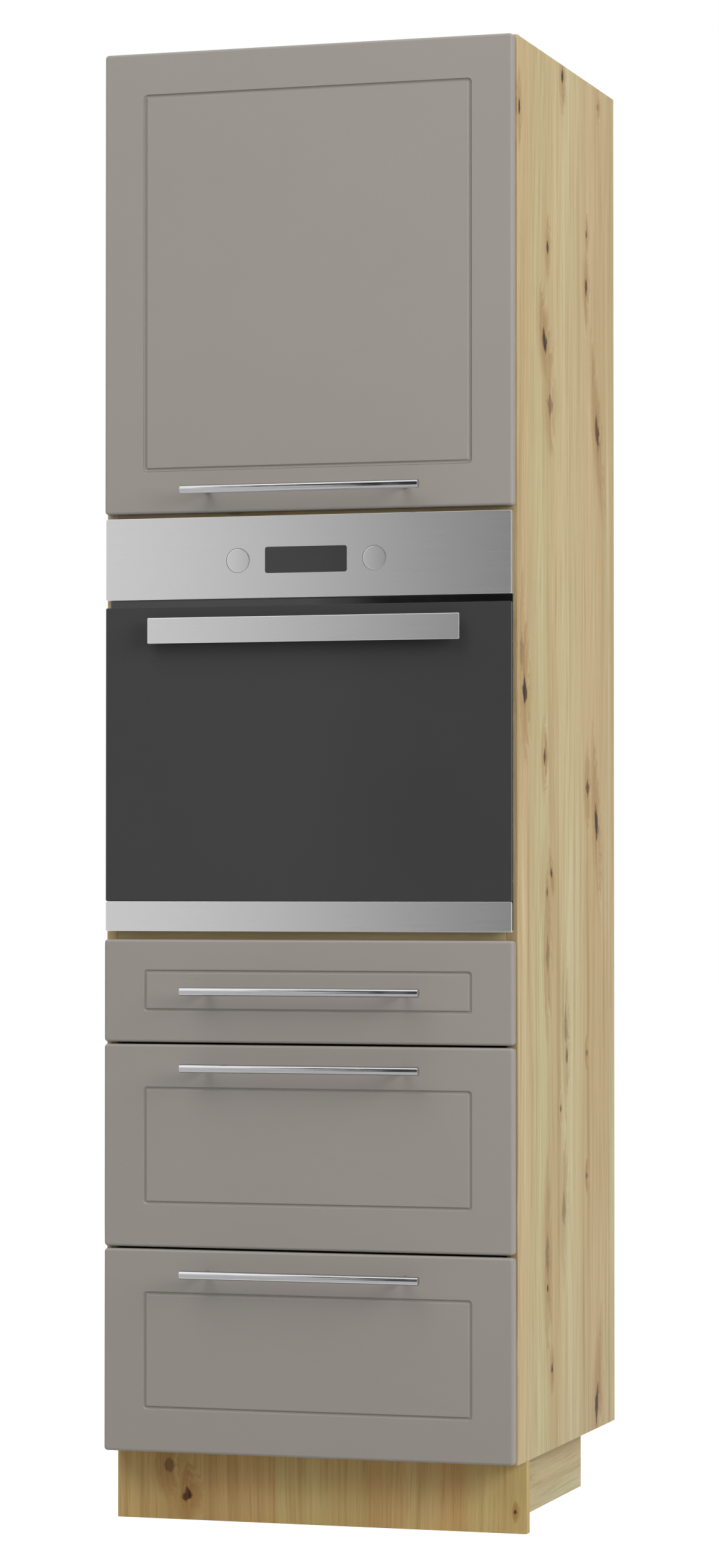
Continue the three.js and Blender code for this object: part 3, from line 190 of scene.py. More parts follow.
soft_box("key_light", -20, 4.0, 6.0, 5.0, 5.0, 176)
soft_box("side_light", 62, 5.0, 2.5, 2.2, 3.0, 160)
soft_box("rear_light", -150, 5.0, 2.2, 2.5, 2.5, 130)

# the frame's axes: to the right, to the rear and up
X = Vector((1, 0, 0))
Y = Vector((0, 1, 0))
Z = Vector((0, 0, 1))
CARD_HEIGHT = 1.0
CARD_LIFT = 0.01


def studio_card(name, swing, rise, distance, radiance):
    """A card that only mirrors see, bowed over the unit and laid on the floor below it."""
    card = bmesh.new()
    bmesh.ops.create_grid(card, x_segments=16, y_segments=24, size=0.5)
    for vert in card.verts:
        aside = math.radians(swing[0] + (vert.co.x + 0.5) * (swing[1] - swing[0]))
        up = math.radians(rise[0] + (vert.co.y + 0.5) * (rise[1] - rise[0]))
        way = Vector((math.sin(aside), -math.cos(aside) * math.cos(up),
                      math.cos(aside) * math.sin(up)))
        reach = distance
        if CARD_HEIGHT + way.z * distance < CARD_LIFT:
            reach = (CARD_LIFT - CARD_HEIGHT) / way.z
        vert.co = CARD_HEIGHT * Z + way * reach
    material, tree, surface = stage_paint(name)
    tree.links.new(glow(tree, radiance), surface)
    holder = stage_piece(name, card, material)
    holder.visible_camera = False
    holder.visible_shadow = False
    holder.visible_diffuse = False


# where each begins and ends from left to right and from below to above, in degrees
studio_card("front_card", (-80, -15.3), (-70, 23), 4.6, 0.80)
studio_card("dark_card", (-18.5, 50), (-22, 55), 8.0, 0.05)
studio_card("floor_card", (-18.5, 50), (-70, -22), 8.0, 0.72)
studio_card("upper_card", (-80, 60), (23, 110), 9.0, 1.5)
studio_card("rear_card", (20, 55), (160, 190), 7.0, 0.30)


# ---- Cabinet boards ---------------------------------------------------------------
# 16 mm chipboard faced with a light oak foil and edged with a thin band of it, with the
# foil's staves running up the sides. The rear edges, which face the wall, are left raw.
MM = 0.001
QUARTER = math.pi / 2


def ramp(tree, value, low, high, to_low=0.0, to_high=1.0):
    """A smooth change from one value to another while the input goes from low to high."""
    node = add_node(tree, "MapRange", {0: value, 1: low, 2: high, 3: to_low, 4: to_high},
                    interpolation_type="SMOOTHSTEP")
    return node.outputs[0]


def paint(red, green, blue):
    """A colour as it is read off a screen, turned into the linear one that nodes take."""
    screen = [value / 255 for value in (red, green, blue)]
    linear = [v / 12.92 if v <= 0.04045 else ((v + 0.055) / 1.055) ** 2.4 for v in screen]
    return (*linear, 1)


def blend_colour(tree, amount, first, second, mode="MIX"):
    """The second colour laid over the first by an amount, each a socket or off a screen."""
    pair = [paint(*colour) if isinstance(colour, tuple) else colour for colour in (first, second)]
    node = add_node(tree, "Mix", {0: amount, 6: pair[0], 7: pair[1]}, data_type="RGBA",
                    blend_type=mode)
    return node.outputs[2]


def stretched(tree, parts, scales):
    """The coordinates in parts, each times its own scale, as one vector."""
    scaled = [maths(tree, "MULTIPLY", part, scale) for part, scale in zip(parts, scales)]
    return add_node(tree, "CombineXYZ", dict(enumerate(scaled))).outputs[0]


def noise(tree, vector, detail=2.0, roughness=0.5):
    """Noise whose scale is already in its vector."""
    return add_node(tree, "TexNoise", {"Vector": vector, "Scale": 1.0, "Detail": detail,
                                       "Roughness": roughness}).outputs["Fac"]


def grain(tree, point, scales, detail=2.0, roughness=0.5):
    """Noise in a piece's own axes, with one scale for all three or one for each."""
    parts = add_node(tree, "SeparateXYZ", {0: point}).outputs[:]
    each = scales if isinstance(scales, tuple) else (scales,) * 3
    return noise(tree, stretched(tree, parts, each), detail, roughness)


def shared_effect(name, inputs, outputs):
    """An empty effect that several finishes use, and its sockets inside."""
    group = bpy.data.node_groups.new(name, "ShaderNodeTree")
    for way, rows in (("INPUT", inputs), ("OUTPUT", outputs)):
        for socket_name, kind in rows:
            group.interface.new_socket(socket_name, in_out=way, socket_type="NodeSocket" + kind)
    given = group.nodes.new("NodeGroupInput").outputs
    put = group.nodes.new("NodeGroupOutput").inputs
    return group, given, put


def placed_effect(tree, group, inputs):
    """An effect in a finish, its inputs values or sockets, and what comes out of it."""
    node = add_node(tree, "Group", node_tree=group)
    for socket_name, value in inputs.items():
        if isinstance(value, bpy.types.NodeSocket):
            tree.links.new(value, node.inputs[socket_name])
        else:
            node.inputs[socket_name].default_value = value
    return node.outputs


# what an effect puts out for a finish
SURFACE = (("Color", "Color"), ("Roughness", "Float"), ("Height", "Float"))


def knot_shape(tree, beside, above, wander):
    """A knot's dark core and its brown halo, from distances in halves of its size."""
    width = maths(tree, "ABSOLUTE", beside)
    length = maths(tree, "POWER", maths(tree, "ABSOLUTE", above), 1.5)
    reach = maths(tree, "ADD", width, maths(tree, "MULTIPLY", length, 0.8))
    reach = maths(tree, "MULTIPLY_ADD", wander, 1.5, reach)
    core = ramp(tree, reach, 0.36, 0.86, 1, 0)
    tail = maths(tree, "POWER", maths(tree, "DIVIDE", above, 5.0), 2.0)
    spread = maths(tree, "ADD", maths(tree, "DIVIDE", width, 2.4), tail)
    halo = ramp(tree, maths(tree, "MULTIPLY_ADD", wander, 0.5, spread), 0.15, 1.0, 1, 0)
    return core, halo


def wandering(tree, across, along):
    """Noise about zero that makes a knot's outline ragged."""
    value = noise(tree, stretched(tree, (across, along, 0.0), (110, 60, 1)), 4, 0.62)
    return maths(tree, "SUBTRACT", value, 0.5)


def strewn_knots(tree, across, along, share):
    """Knots at random over the foil, in so great a share of the cells that can have one."""
    cell_at = stretched(tree, (across, along, 0.0), (7.2, 3.4, 1))
    cell = add_node(tree, "TexVoronoi", {"Vector": cell_at, "Scale": 1.0, "Randomness": 0.85},
                    voronoi_dimensions="2D").outputs
    chance = add_node(tree, "SeparateColor", {0: cell["Color"]}).outputs
    off = add_node(tree, "VectorMath", {0: cell_at, 1: cell["Position"]}, operation="SUBTRACT")
    off = add_node(tree, "SeparateXYZ", {0: off.outputs[0]}).outputs
    size = maths(tree, "MULTIPLY_ADD", chance[1], 0.085, 0.03)
    core, halo = knot_shape(tree, maths(tree, "DIVIDE", off["X"], size),
                            maths(tree, "DIVIDE", off["Y"], size), wandering(tree, across, along))
    has_knot = maths(tree, "MULTIPLY", ramp(tree, chance[0], 0.52, 0.54), share)
    return maths(tree, "MULTIPLY", core, has_knot), maths(tree, "MULTIPLY", halo, has_knot)


def wavy_lines(tree, across, swirl):
    """Fine lines along a stave that swing from side to side together."""
    wave = maths(tree, "MULTIPLY_ADD", across, 190, maths(tree, "MULTIPLY", swirl, 60))
    return maths(tree, "MULTIPLY_ADD", maths(tree, "SINE", wave), 0.5, 0.5)


def build_oak(tree, given, put):
    """Upright staves along Z: tints, fibres, bands, and small dark knots with halos."""
    apart = add_node(tree, "SeparateXYZ", {0: given["Point"]}).outputs
    along = apart["Z"]
    level = maths(tree, "ADD", apart["X"], apart["Y"])
    sway = noise(tree, stretched(tree, (level, along, 0.0), (4, 1.1, 1)))
    across = maths(tree, "MULTIPLY_ADD", sway, 0.05, level)
    # knots first, because the fibres bend round them
    core, halo = strewn_knots(tree, across, along, given["Knots"])
    core = maths(tree, "MAXIMUM", core, given["Placed Core"])
    halo = maths(tree, "MAXIMUM", halo, given["Placed Halo"])
    bent = maths(tree, "MULTIPLY_ADD", halo, 0.022, across)
    # staves, each with tints of its own
    stave = add_node(tree, "TexVoronoi", {"W": maths(tree, "MULTIPLY", bent, 7.5),
                                          "Scale": 1.0, "Randomness": 0.85},
                     voronoi_dimensions="1D").outputs
    tint = add_node(tree, "SeparateColor", {0: stave["Color"]}).outputs
    own = maths(tree, "MULTIPLY", tint[2], 40)

    def streaks(beside, lengthwise, detail, roughness=0.5):
        """Noise drawn out along its stave and broken off at the stave's edges."""
        place = stretched(tree, (bent, own, along), (beside, 1, lengthwise))
        return noise(tree, place, detail, roughness)

    broad = streaks(13, 0.9, 2)
    bands = streaks(52, 1.5, 3, 0.6)
    strings = streaks(34, 0.8, 1)
    fibres = streaks(210, 5, 3, 0.65)
    pores = streaks(900, 34, 3, 0.65)
    flame = maths(tree, "MULTIPLY", wavy_lines(tree, bent, streaks(9, 1.6, 1)),
                  ramp(tree, tint[1], 0.35, 0.75))
    colour = blend_colour(tree, ramp(tree, tint[0], 0.2, 0.8), (203, 192, 146), (206, 183, 140))
    for amount, shade in (
        (ramp(tree, broad, 0.38, 0.68, 0, 0.60), (189, 164, 118)),
        (ramp(tree, broad, 0.46, 0.26, 0, 0.60), (211, 203, 162)),
        (ramp(tree, bands, 0.46, 0.68, 0, 0.55), (183, 158, 113)),
        (maths(tree, "MULTIPLY", flame, 0.26), (181, 154, 108)),
        (ramp(tree, strings, 0.62, 0.74, 0, 0.55), (157, 129, 86)),
        (ramp(tree, fibres, 0.48, 0.70, 0, 0.48), (166, 143, 99)),
        (ramp(tree, fibres, 0.44, 0.28, 0, 0.42), (218, 210, 169)),
        (ramp(tree, pores, 0.56, 0.72, 0, 0.28), (145, 123, 86)),
        (maths(tree, "MULTIPLY", halo, ramp(tree, fibres, 0.3, 0.6, 0.30, 0.72)), (158, 120, 72)),
        (maths(tree, "MULTIPLY", core, ramp(tree, fibres, 0.30, 0.50, 0.75, 1.0)), (74, 37, 8)),
        (ramp(tree, maths(tree, "MULTIPLY", core, bands), 0.38, 0.56, 0, 0.8), (26, 11, 2)),
    ):
        colour = blend_colour(tree, amount, colour, shade)
    height = maths(tree, "MULTIPLY_ADD", pores, -0.5, maths(tree, "MULTIPLY", fibres, 0.6))
    tree.links.new(blend_colour(tree, 1.0, colour, given["Tone"], "MULTIPLY"), put["Color"])
    tree.links.new(maths(tree, "MULTIPLY_ADD", fibres, 0.12, 0.50), put["Roughness"])
    tree.links.new(maths(tree, "MULTIPLY_ADD", core, -0.6, height), put["Height"])


oak_effect = shared_effect(
    "oak_figure",
    (("Point", "Vector"), ("Knots", "Float"), ("Placed Core", "Float"), ("Placed Halo", "Float"),
     ("Tone", "Color")),
    SURFACE,
)
build_oak(*oak_effect)
oak_figure = oak_effect[0]


def build_knot(tree, given, put):
    """One knot at a chosen place, added to those before it."""
    above = maths(tree, "DIVIDE", maths(tree, "SUBTRACT", given["Along"], given["Place Along"]),
                  given["Half Length"])
    beside = maths(tree, "DIVIDE", maths(tree, "SUBTRACT", given["Across"], given["Place Across"]),
                   given["Half Width"])
    beside = maths(tree, "MULTIPLY_ADD", above, given["Lean"], beside)
    core, halo = knot_shape(tree, beside, above, given["Wander"])
    core = maths(tree, "MULTIPLY", core, given["Darkness"])
    halo = maths(tree, "MULTIPLY", halo, maths(tree, "MULTIPLY_ADD", given["Darkness"], 0.5, 0.5))
    tree.links.new(maths(tree, "MAXIMUM", core, given["Core Before"]), put["Core"])
    tree.links.new(maths(tree, "MAXIMUM", halo, given["Halo Before"]), put["Halo"])


knot_effect = shared_effect(
    "oak_knot",
    [(name, "Float") for name in (
        "Across", "Along", "Wander", "Place Across", "Place Along", "Half Width", "Half Length",
        "Lean", "Darkness", "Core Before", "Halo Before")],
    (("Core", "Float"), ("Halo", "Float")),
)
build_knot(*knot_effect)
oak_knot = knot_effect[0]


def bare_finish(name):
    """An empty material with its tree, its shader and the object's coordinates."""
    material = bpy.data.materials.new(name)
    material.use_nodes = True
    tree = material.node_tree
    point = add_node(tree, "TexCoord").outputs["Object"]
    return material, tree, tree.nodes["Principled BSDF"], point


def set_surface(tree, shader, colour, roughness, plain=()):
    """Colour and roughness from the tree, and plain numbers for the shader's other inputs."""
    tree.links.new(colour, shader.inputs["Base Color"])
    tree.links.new(roughness, shader.inputs["Roughness"])
    for name, value in dict(plain).items():
        shader.inputs[name].default_value = value


def use_bump(tree, shader, height, depth, strength=1.0):
    """Relief of a given depth in metres, from a height between 0 and 1."""
    bump = add_node(tree, "Bump", {"Strength": strength, "Distance": depth, "Height": height})
    tree.links.new(bump.outputs["Normal"], shader.inputs["Normal"])


GRAIN_START = {"X": 0.0, "Y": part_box("side_panel_right")[0].y}


def chosen_knots(tree, point, across_axis, rows):
    """The knots of a table, one laid over the other, as they are put into the figure."""
    apart = add_node(tree, "SeparateXYZ", {0: point}).outputs
    shared = {"Across": apart[across_axis], "Along": apart["Z"],
              "Wander": wandering(tree, apart[across_axis], apart["Z"])}
    knot = {"Core": 0.0, "Halo": 0.0}
    for from_front, height, half_width, half_length, lean, darkness in rows:
        knot = placed_effect(tree, oak_knot, {
            **shared,
            "Place Across": from_front * MM + GRAIN_START[across_axis],
            "Place Along": height * MM,
            "Half Width": half_width * MM,
            "Half Length": half_length * MM,
            "Lean": lean,
            "Darkness": darkness,
            "Core Before": knot["Core"],
            "Halo Before": knot["Halo"],
        })
    return {"Placed Core": knot["Core"], "Placed Halo": knot["Halo"]}


def oak_foil(name, turn, offset, knots=0.0, tone=(1, 1, 1), placed_knots=(), across_axis="Y"):
    """Oak foil whose grain runs along Z once the point has been turned."""
    material, tree, shader, point = bare_finish(name)
    moved = add_node(tree, "Mapping", {"Vector": point, "Rotation": turn,
                                       "Location": (offset, 0, 0)})
    placed = chosen_knots(tree, point, across_axis, placed_knots) if placed_knots else {}
    figure = placed_effect(tree, oak_figure, {"Point": moved.outputs[0], "Knots": knots,
                                              "Tone": (*tone, 1), **placed})
    set_surface(tree, shader, figure["Color"], figure["Roughness"], {"Specular IOR Level": 0.2})
    use_bump(tree, shader, figure["Height"], 0.00012, 0.6)
    return material


# from the front edge, above the floor, half width, half length (mm), lean, darkness
SIDE_KNOTS = (
    (11, 1970, 8, 15, 0.0, 1.0), (248, 2052, 12, 15, 0.0, 0.9), (164, 1797, 11, 12, 0.0, 0.9),
    (387, 1845, 8, 9, 0.0, 0.7), (384, 1768, 12, 15, 0.0, 0.9), (147, 1662, 22, 20, 0.3, 1.0),
    (177, 1574, 22, 19, 0.0, 0.6), (450, 1561, 18, 34, 0.5, 0.9), (456, 2043, 8, 7, 0.0, 0.5),
    (38, 1164, 21, 25, 0.0, 0.95), (22, 1219, 14, 32, 0.0, 0.45), (145, 1076, 11, 14, 0.0, 1.0),
    (390, 1037, 13, 16, 0.0, 0.9), (442, 986, 17, 34, 0.3, 0.95), (183, 912, 8, 9, 0.3, 0.85),
    (158, 886, 7, 8, 0.0, 0.7), (161, 798, 15, 30, 0.0, 0.5), (261, 694, 14, 32, 0.0, 0.45),
    (269, 651, 10, 15, 0.0, 0.75), (385, 652, 8, 6, 0.0, 0.8), (234, 578, 8, 6, 0.0, 0.8),
    (251, 433, 18, 28, 0.0, 0.4), (384, 473, 8, 6, 0.0, 0.8), (159, 375, 16, 36, 0.0, 0.5),
    (159, 329, 8, 7, 0.0, 0.9), (184, 213, 8, 10, 0.0, 1.0), (443, 137, 18, 34, -0.3, 0.95),
)
# the same, but from the unit's middle
PLINTH_KNOTS = (
    (-222, 76, 16, 12, 0.0, 0.55), (-196, 34, 12, 12, 0.0, 0.9), (283, 30, 4, 4, 0.0, 0.8),
)
PLINTH_TONE = (1.04, 0.90, 0.68)
UPRIGHT = (0, 0, 0)
oak_upright = oak_foil("oak_upright", UPRIGHT, 3.1, knots=1.0)
oak_side = oak_foil("oak_side", UPRIGHT, 0.37, placed_knots=SIDE_KNOTS)
oak_plinth = oak_foil("oak_plinth", UPRIGHT, 2.62, tone=PLINTH_TONE, placed_knots=PLINTH_KNOTS,
                      across_axis="X")
oak_level = oak_foil("oak_level", (0, QUARTER, 0), 5.3, knots=0.4)
oak_lengthwise = oak_foil("oak_lengthwise", (QUARTER, 0, 0), 1.7, knots=0.2)


def raw_chipboard():
    """The board's core: pressed flakes of many shades."""
    material, tree, shader, point = bare_finish("raw_chipboard")
    flakes = add_node(tree, "TexVoronoi", {"Vector": point, "Scale": 520.0}).outputs["Color"]
    value = add_node(tree, "SeparateColor", {0: flakes}).outputs[0]
    stains = ramp(tree, grain(tree, point, 180, 3), 0.5, 0.75, 0, 0.6)
    colour = blend_colour(tree, value, (168, 140, 100), (206, 184, 146))
    tree.links.new(blend_colour(tree, stains, colour, (120, 94, 62)), shader.inputs["Base Color"])
    shader.inputs["Roughness"].default_value = 0.85
    use_bump(tree, shader, value, 0.0002)
    return material


chipboard = raw_chipboard()


def finished_piece(name, shape, body, finishes, stands_for=(), smooth=35, edge=0.0):
    """Makes the shape a piece that moves with a body, in place of the nodes it stands for."""
    mesh = bpy.data.meshes.new(name)
    shape.to_mesh(mesh)
    shape.free()
    piece = bpy.data.objects.new(name, mesh)
    scene.collection.objects.link(piece)
    for finish in finishes:
        mesh.materials.append(finish)
    mesh.shade_smooth()
    mesh.set_sharp_from_angle(angle=math.radians(smooth))
    if edge:
        broken = piece.modifiers.new("broken edges", "BEVEL")
        broken.width = edge
        broken.segments = 1
        broken.limit_method = "ANGLE"
        broken.angle_limit = math.radians(50)
        broken.use_clamp_overlap = True
    piece.modifiers.new("flat faces", "WEIGHTED_NORMAL").keep_sharp = True
    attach(piece, body)
    if stands_for:
        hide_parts(*stands_for)
    return piece


def slab(low, high, arris=0.0):
    """A board between two corners, its edges taken off by an arris."""
    low, high = Vector(low), Vector(high)
    shape = bmesh.new()
    bmesh.ops.create_cube(shape, size=1)
    bmesh.ops.scale(shape, vec=high - low, verts=shape.verts)
    bmesh.ops.translate(shape, vec=(low + high) / 2, verts=shape.verts)
    if arris:
        bmesh.ops.bevel(shape, geom=shape.edges, offset=arris, segments=2, profile=0.5,
                        affect="EDGES", material=-1, clamp_overlap=True)
    return shape


def cut_away(shape, cutter):
    """The first solid without the second."""
    pair = []
    for solid in (shape, cutter):
        mesh = bpy.data.meshes.new("cutting")
        solid.to_mesh(mesh)
        solid.free()
        holder = bpy.data.objects.new("cutting", mesh)
        scene.collection.objects.link(holder)
        pair.append(holder)
    cutting = pair[0].modifiers.new("cutting", "BOOLEAN")
    cutting.object = pair[1]
    cutting.operation = "DIFFERENCE"
    cutting.solver = "EXACT"
    left = bmesh.new()
    left.from_object(pair[0], bpy.context.evaluated_depsgraph_get())
    for holder in pair:
        mesh = holder.data
        bpy.data.objects.remove(holder)
        bpy.data.meshes.remove(mesh)
    return left


def rod(start, end, radius, sides=32, chamfer=0.0):
    """A round bar between two points, its rims chamfered."""
    start, end = Vector(start), Vector(end)
    length = (end - start).length
    shape = bmesh.new()
    bmesh.ops.create_cone(shape, cap_ends=True, segments=sides, radius1=radius, radius2=radius,
                          depth=length)
    if chamfer:
        rims = [edge for edge in shape.edges if abs(edge.verts[0].co.z - edge.verts[1].co.z) < 1e-7]
        bmesh.ops.bevel(shape, geom=rims, offset=chamfer, segments=3, profile=0.5,
                        affect="EDGES", material=-1)
    turn = (end - start).to_track_quat("Z", "Y").to_matrix().to_4x4()
    bmesh.ops.transform(shape, matrix=Matrix.Translation((start + end) / 2) @ turn,
                        verts=shape.verts)
    return shape


def raw_edges(piece, direction):
    """The faces that look one way show the board's core instead of its foil."""
    for face in piece.data.polygons:
        if face.normal.dot(direction) > 0.95:
            face.material_index = 1


MERGE_WITHIN = 0.02 * MM


def merged_copy(node):
    """The node's own surface, joined up and with its flat faces made whole."""
    shape = bmesh.new()
    shape.from_mesh(nodes[node].data)
    bmesh.ops.remove_doubles(shape, verts=shape.verts, dist=MERGE_WITHIN)
    bmesh.ops.dissolve_limit(shape, angle_limit=math.radians(0.5), use_dissolve_boundaries=False,
                             verts=shape.verts, edges=shape.edges, delimit={"NORMAL"})
    return shape


def long_edges(shape, low, high):
    """The edges of the shape that run along the edges of its outer box."""
    def on_box(vert):
        """Whether a corner of the shape is on an edge of the box."""
        sides = [abs(vert.co[i] - bound[i]) < 1e-5 for i in range(3) for bound in (low, high)]
        return sum(sides) >= 2
    return [edge for edge in shape.edges if all(on_box(vert) for vert in edge.verts)]


BAND_ARRIS = 0.8 * MM
for hand, foil_face in (("left", oak_upright), ("right", oak_side)):
    node = f"side_panel_{hand}"
    shape = merged_copy(node)
    bmesh.ops.bevel(shape, geom=long_edges(shape, *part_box(node)), offset=BAND_ARRIS, segments=2,
                    profile=0.5, affect="EDGES", material=-1, clamp_overlap=True)
    panel = finished_piece(f"{hand}_side", shape, "carcass", (foil_face, chipboard), [node])
    raw_edges(panel, Y)
    raw_edges(panel, Z)

CAM_RADIUS = 7.5 * MM
CAM_POCKET = 1 * MM
CAM_FROM_END = 34 * MM
CAM_FROM_EDGE = 37 * MM
top_low, top_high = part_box("top_panel")
cam_places = [
    Vector((x, y, top_high.z))
    for x in (top_low.x + CAM_FROM_END, top_high.x - CAM_FROM_END)
    for y in (top_low.y + CAM_FROM_EDGE, top_high.y - CAM_FROM_EDGE)
]
for node, finish in (
    ("bottom_panel", oak_level),
    ("top_panel", oak_level),
    ("oven_shelf", oak_level),
    ("cupboard_floor", oak_level),
    ("cupboard_shelf", oak_level),
    ("plinth_front", oak_plinth),
    ("plinth_side_left", oak_lengthwise),
    ("plinth_side_right", oak_lengthwise),
    ("plinth_rear_rail", oak_level),
):
    shape = slab(*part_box(node), BAND_ARRIS)
    if node == "top_panel":
        for place in cam_places:
            shape = cut_away(shape, rod(place - CAM_POCKET * Z, place + MM * Z, CAM_RADIUS))
    board = finished_piece(f"{node}_board", shape, "carcass", (finish, chipboard), [node])
    raw_edges(board, Y)
    if node.startswith("plinth"):
        raw_edges(board, -Z)


# ---- Fronts -----------------------------------------------------------------------
# 16 mm fibreboard, its outer arris rounded over and one rectangular line milled into
# the face, all wrapped in a warm grey satin foil.
def grey_foil():
    """A satin foil with a faint orange peel."""
    material, tree, shader, point = bare_finish("grey_foil")
    cloud = grain(tree, point, 5)
    peel = grain(tree, point, 420)
    set_surface(tree, shader, blend_colour(tree, cloud, (158, 152, 146), (154, 148, 141)),
                maths(tree, "MULTIPLY_ADD", peel, 0.08, 0.44), {"Specular IOR Level": 0.4})
    use_bump(tree, shader, peel, 0.00002, 0.7)
    return material


foil = grey_foil()
FRONT_CORNER = 5 * MM
FRONT_ROUNDING = 4 * MM
STILE = 61 * MM
GROOVE_HALF = 3 * MM
GROOVE_CORNER = 3 * MM
# inset from the groove's outer edge, and depth below the face
GROOVE_PROFILE = (
    (0.25, 0.05), (0.6, 0.3), (1.35, 1.6), (1.75, 2.1), (2.3, 2.36), (3.0, 2.4),
    (3.7, 2.36), (4.25, 2.1), (4.65, 1.6), (5.4, 0.3), (5.75, 0.05), (6.0, 0.0),
)


def round_face(shape, half_width, half_height, corner, middle):
    """A flat face in X and Z about its middle, with round corners."""
    corners = [
        shape.verts.new(middle + Vector((side * half_width, 0, level * half_height)))
        for side, level in ((-1, -1), (1, -1), (1, 1), (-1, 1))
    ]
    before = set(shape.faces)
    shape.faces.new(corners)
    bmesh.ops.bevel(shape, geom=corners, offset=corner, offset_type="OFFSET", segments=6,
                    profile=0.5, affect="VERTICES", material=-1)
    return next(face for face in shape.faces if face not in before)


def step_in(shape, face, inset, forward):
    """Insets a face and moves it forwards, leaving a sloping rim behind."""
    bmesh.ops.inset_region(shape, faces=[face], thickness=inset, depth=forward,
                           use_even_offset=True, use_boundary=True)


def pulled_forward(shape, face, distance):
    """Pushes a face forwards into a solid, and returns the face at its end."""
    grown = bmesh.ops.extrude_face_region(shape, geom=[face])["geom"]
    moved = [item for item in grown if isinstance(item, bmesh.types.BMVert)]
    bmesh.ops.translate(shape, vec=(0, -distance, 0), verts=moved)
    return next(item for item in grown if isinstance(item, bmesh.types.BMFace))


def round_over(shape, face, radius, steps):
    """A quarter round from a face's rim to its flat."""
    for step in range(steps):
        start, end = (QUARTER * step / steps, QUARTER * (step + 1) / steps)
        inset = radius * (math.cos(start) - math.cos(end))
        forward = radius * (math.sin(end) - math.sin(start))
        step_in(shape, face, inset, forward)


def soft_plate(low, high, corner, rounding, steps):
    """A plate whose front corners and front arris are rounded."""
    middle = (low + high) / 2
    middle.y = high.y
    half_width, half_height = (high.x - low.x) / 2, (high.z - low.z) / 2
    shape = bmesh.new()
    rear = round_face(shape, half_width, half_height, corner, middle)
    face = pulled_forward(shape, rear, high.y - low.y - rounding)
    round_over(shape, face, rounding, steps)
    bmesh.ops.recalc_face_normals(shape, faces=shape.faces)
    return shape, face


def milled_front(node, rail):
    """A front with its line milled in, as far from the edges as the stiles and rails."""
    low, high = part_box(node)
    shape, face = soft_plate(low, high, FRONT_CORNER, FRONT_ROUNDING, 6)
    middle = Vector(((low.x + high.x) / 2, low.y, (low.z + high.z) / 2))
    face_loop = list(face.edges)
    shape.faces.remove(face)
    half_width = (high.x - low.x) / 2 - STILE + GROOVE_HALF
    half_height = (high.z - low.z) / 2 - rail + GROOVE_HALF
    panel = round_face(shape, half_width, half_height, GROOVE_CORNER + GROOVE_HALF, middle)
    groove_loop = list(panel.edges)
    inset, depth = 0.0, 0.0
    for next_inset, next_depth in GROOVE_PROFILE:
        step_in(shape, panel, (next_inset - inset) * MM, (depth - next_depth) * MM)
        inset, depth = next_inset, next_depth
    bmesh.ops.bridge_loops(shape, edges=face_loop + groove_loop)
    bmesh.ops.recalc_face_normals(shape, faces=shape.faces)
    return shape


DEEP_RAIL = 62 * MM
SHALLOW_RAIL = 45 * MM
for level, rail in (("low", DEEP_RAIL), ("mid", DEEP_RAIL), ("top", SHALLOW_RAIL)):
    node = f"drawer_{level}_front"
    finished_piece(f"{level}_drawer_face", milled_front(node, rail), f"drawer_{level}",
                   (foil,), [node])

HANDS = {"left": -1, "right": 1}
CUP_BORE = 17.8 * MM
CUP_PLAY = 0.3 * MM
OVERCUT = 2 * MM
flap_shape = milled_front("flap_front", DEEP_RAIL)
flap_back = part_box("flap_front")[1].y
for hand in HANDS:
    low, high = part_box(f"hinge_cup_{hand}")
    middle = (low + high) / 2
    bore = rod((middle.x, low.y - CUP_PLAY, middle.z), (middle.x, flap_back + OVERCUT, middle.z),
               CUP_BORE, 64)
    flap_shape = cut_away(flap_shape, bore)
finished_piece("flap_face", flap_shape, "flap", (foil,), ["flap_front"])


# ---- Bar handles ------------------------------------------------------------------
# A 12 mm steel bar on two posts, turned, chamfered at its ends and chromed, and screwed
# on from behind the front.
def polished_chrome():
    """Chrome, wiped along the bar."""
    material, tree, shader, point = bare_finish("polished_chrome")
    wiped = grain(tree, point, (30, 160, 160), 3)
    set_surface(tree, shader, blend_colour(tree, wiped, (188, 188, 191), (197, 197, 199)),
                ramp(tree, wiped, 0.3, 0.8, 0.06, 0.14), {"Metallic": 1})
    return material


def all_of(*shapes):
    """Several shapes as one."""
    whole = bmesh.new()
    for shape in shapes:
        mesh = bpy.data.meshes.new("joining")
        shape.to_mesh(mesh)
        shape.free()
        whole.from_mesh(mesh)
        bpy.data.meshes.remove(mesh)
    return whole


chrome = polished_chrome()
BAR_RADIUS = 6 * MM
BAR_CHAMFER = 0.8 * MM
POST_RADIUS = 4.5 * MM
POST_PLACES = (-144 * MM, 144 * MM)
HANDLED = ("drawer_low", "drawer_mid", "drawer_top", "flap")
for body in HANDLED:
    low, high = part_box(f"{body}_handle")
    y, z = low.y + BAR_RADIUS, (low.z + high.z) / 2
    bar = rod((low.x, y, z), (high.x, y, z), BAR_RADIUS, 64, BAR_CHAMFER)
    posts = [rod((x, y, z), (x, high.y, z), POST_RADIUS, 40) for x in POST_PLACES]
    finished_piece(f"{body}_bar", all_of(bar, *posts), body, (chrome,),
                   [f"{body}_handle"])


# ---- Oven fascia, knobs and display -----------------------------------------------
# A folded stainless tray, its face brushed along its length, with two push-pull knobs
# that lie flush in it and a dark display window between them.
brushed_lines, given, put = shared_effect("brushed_lines", (("Point", "Vector"),), SURFACE)


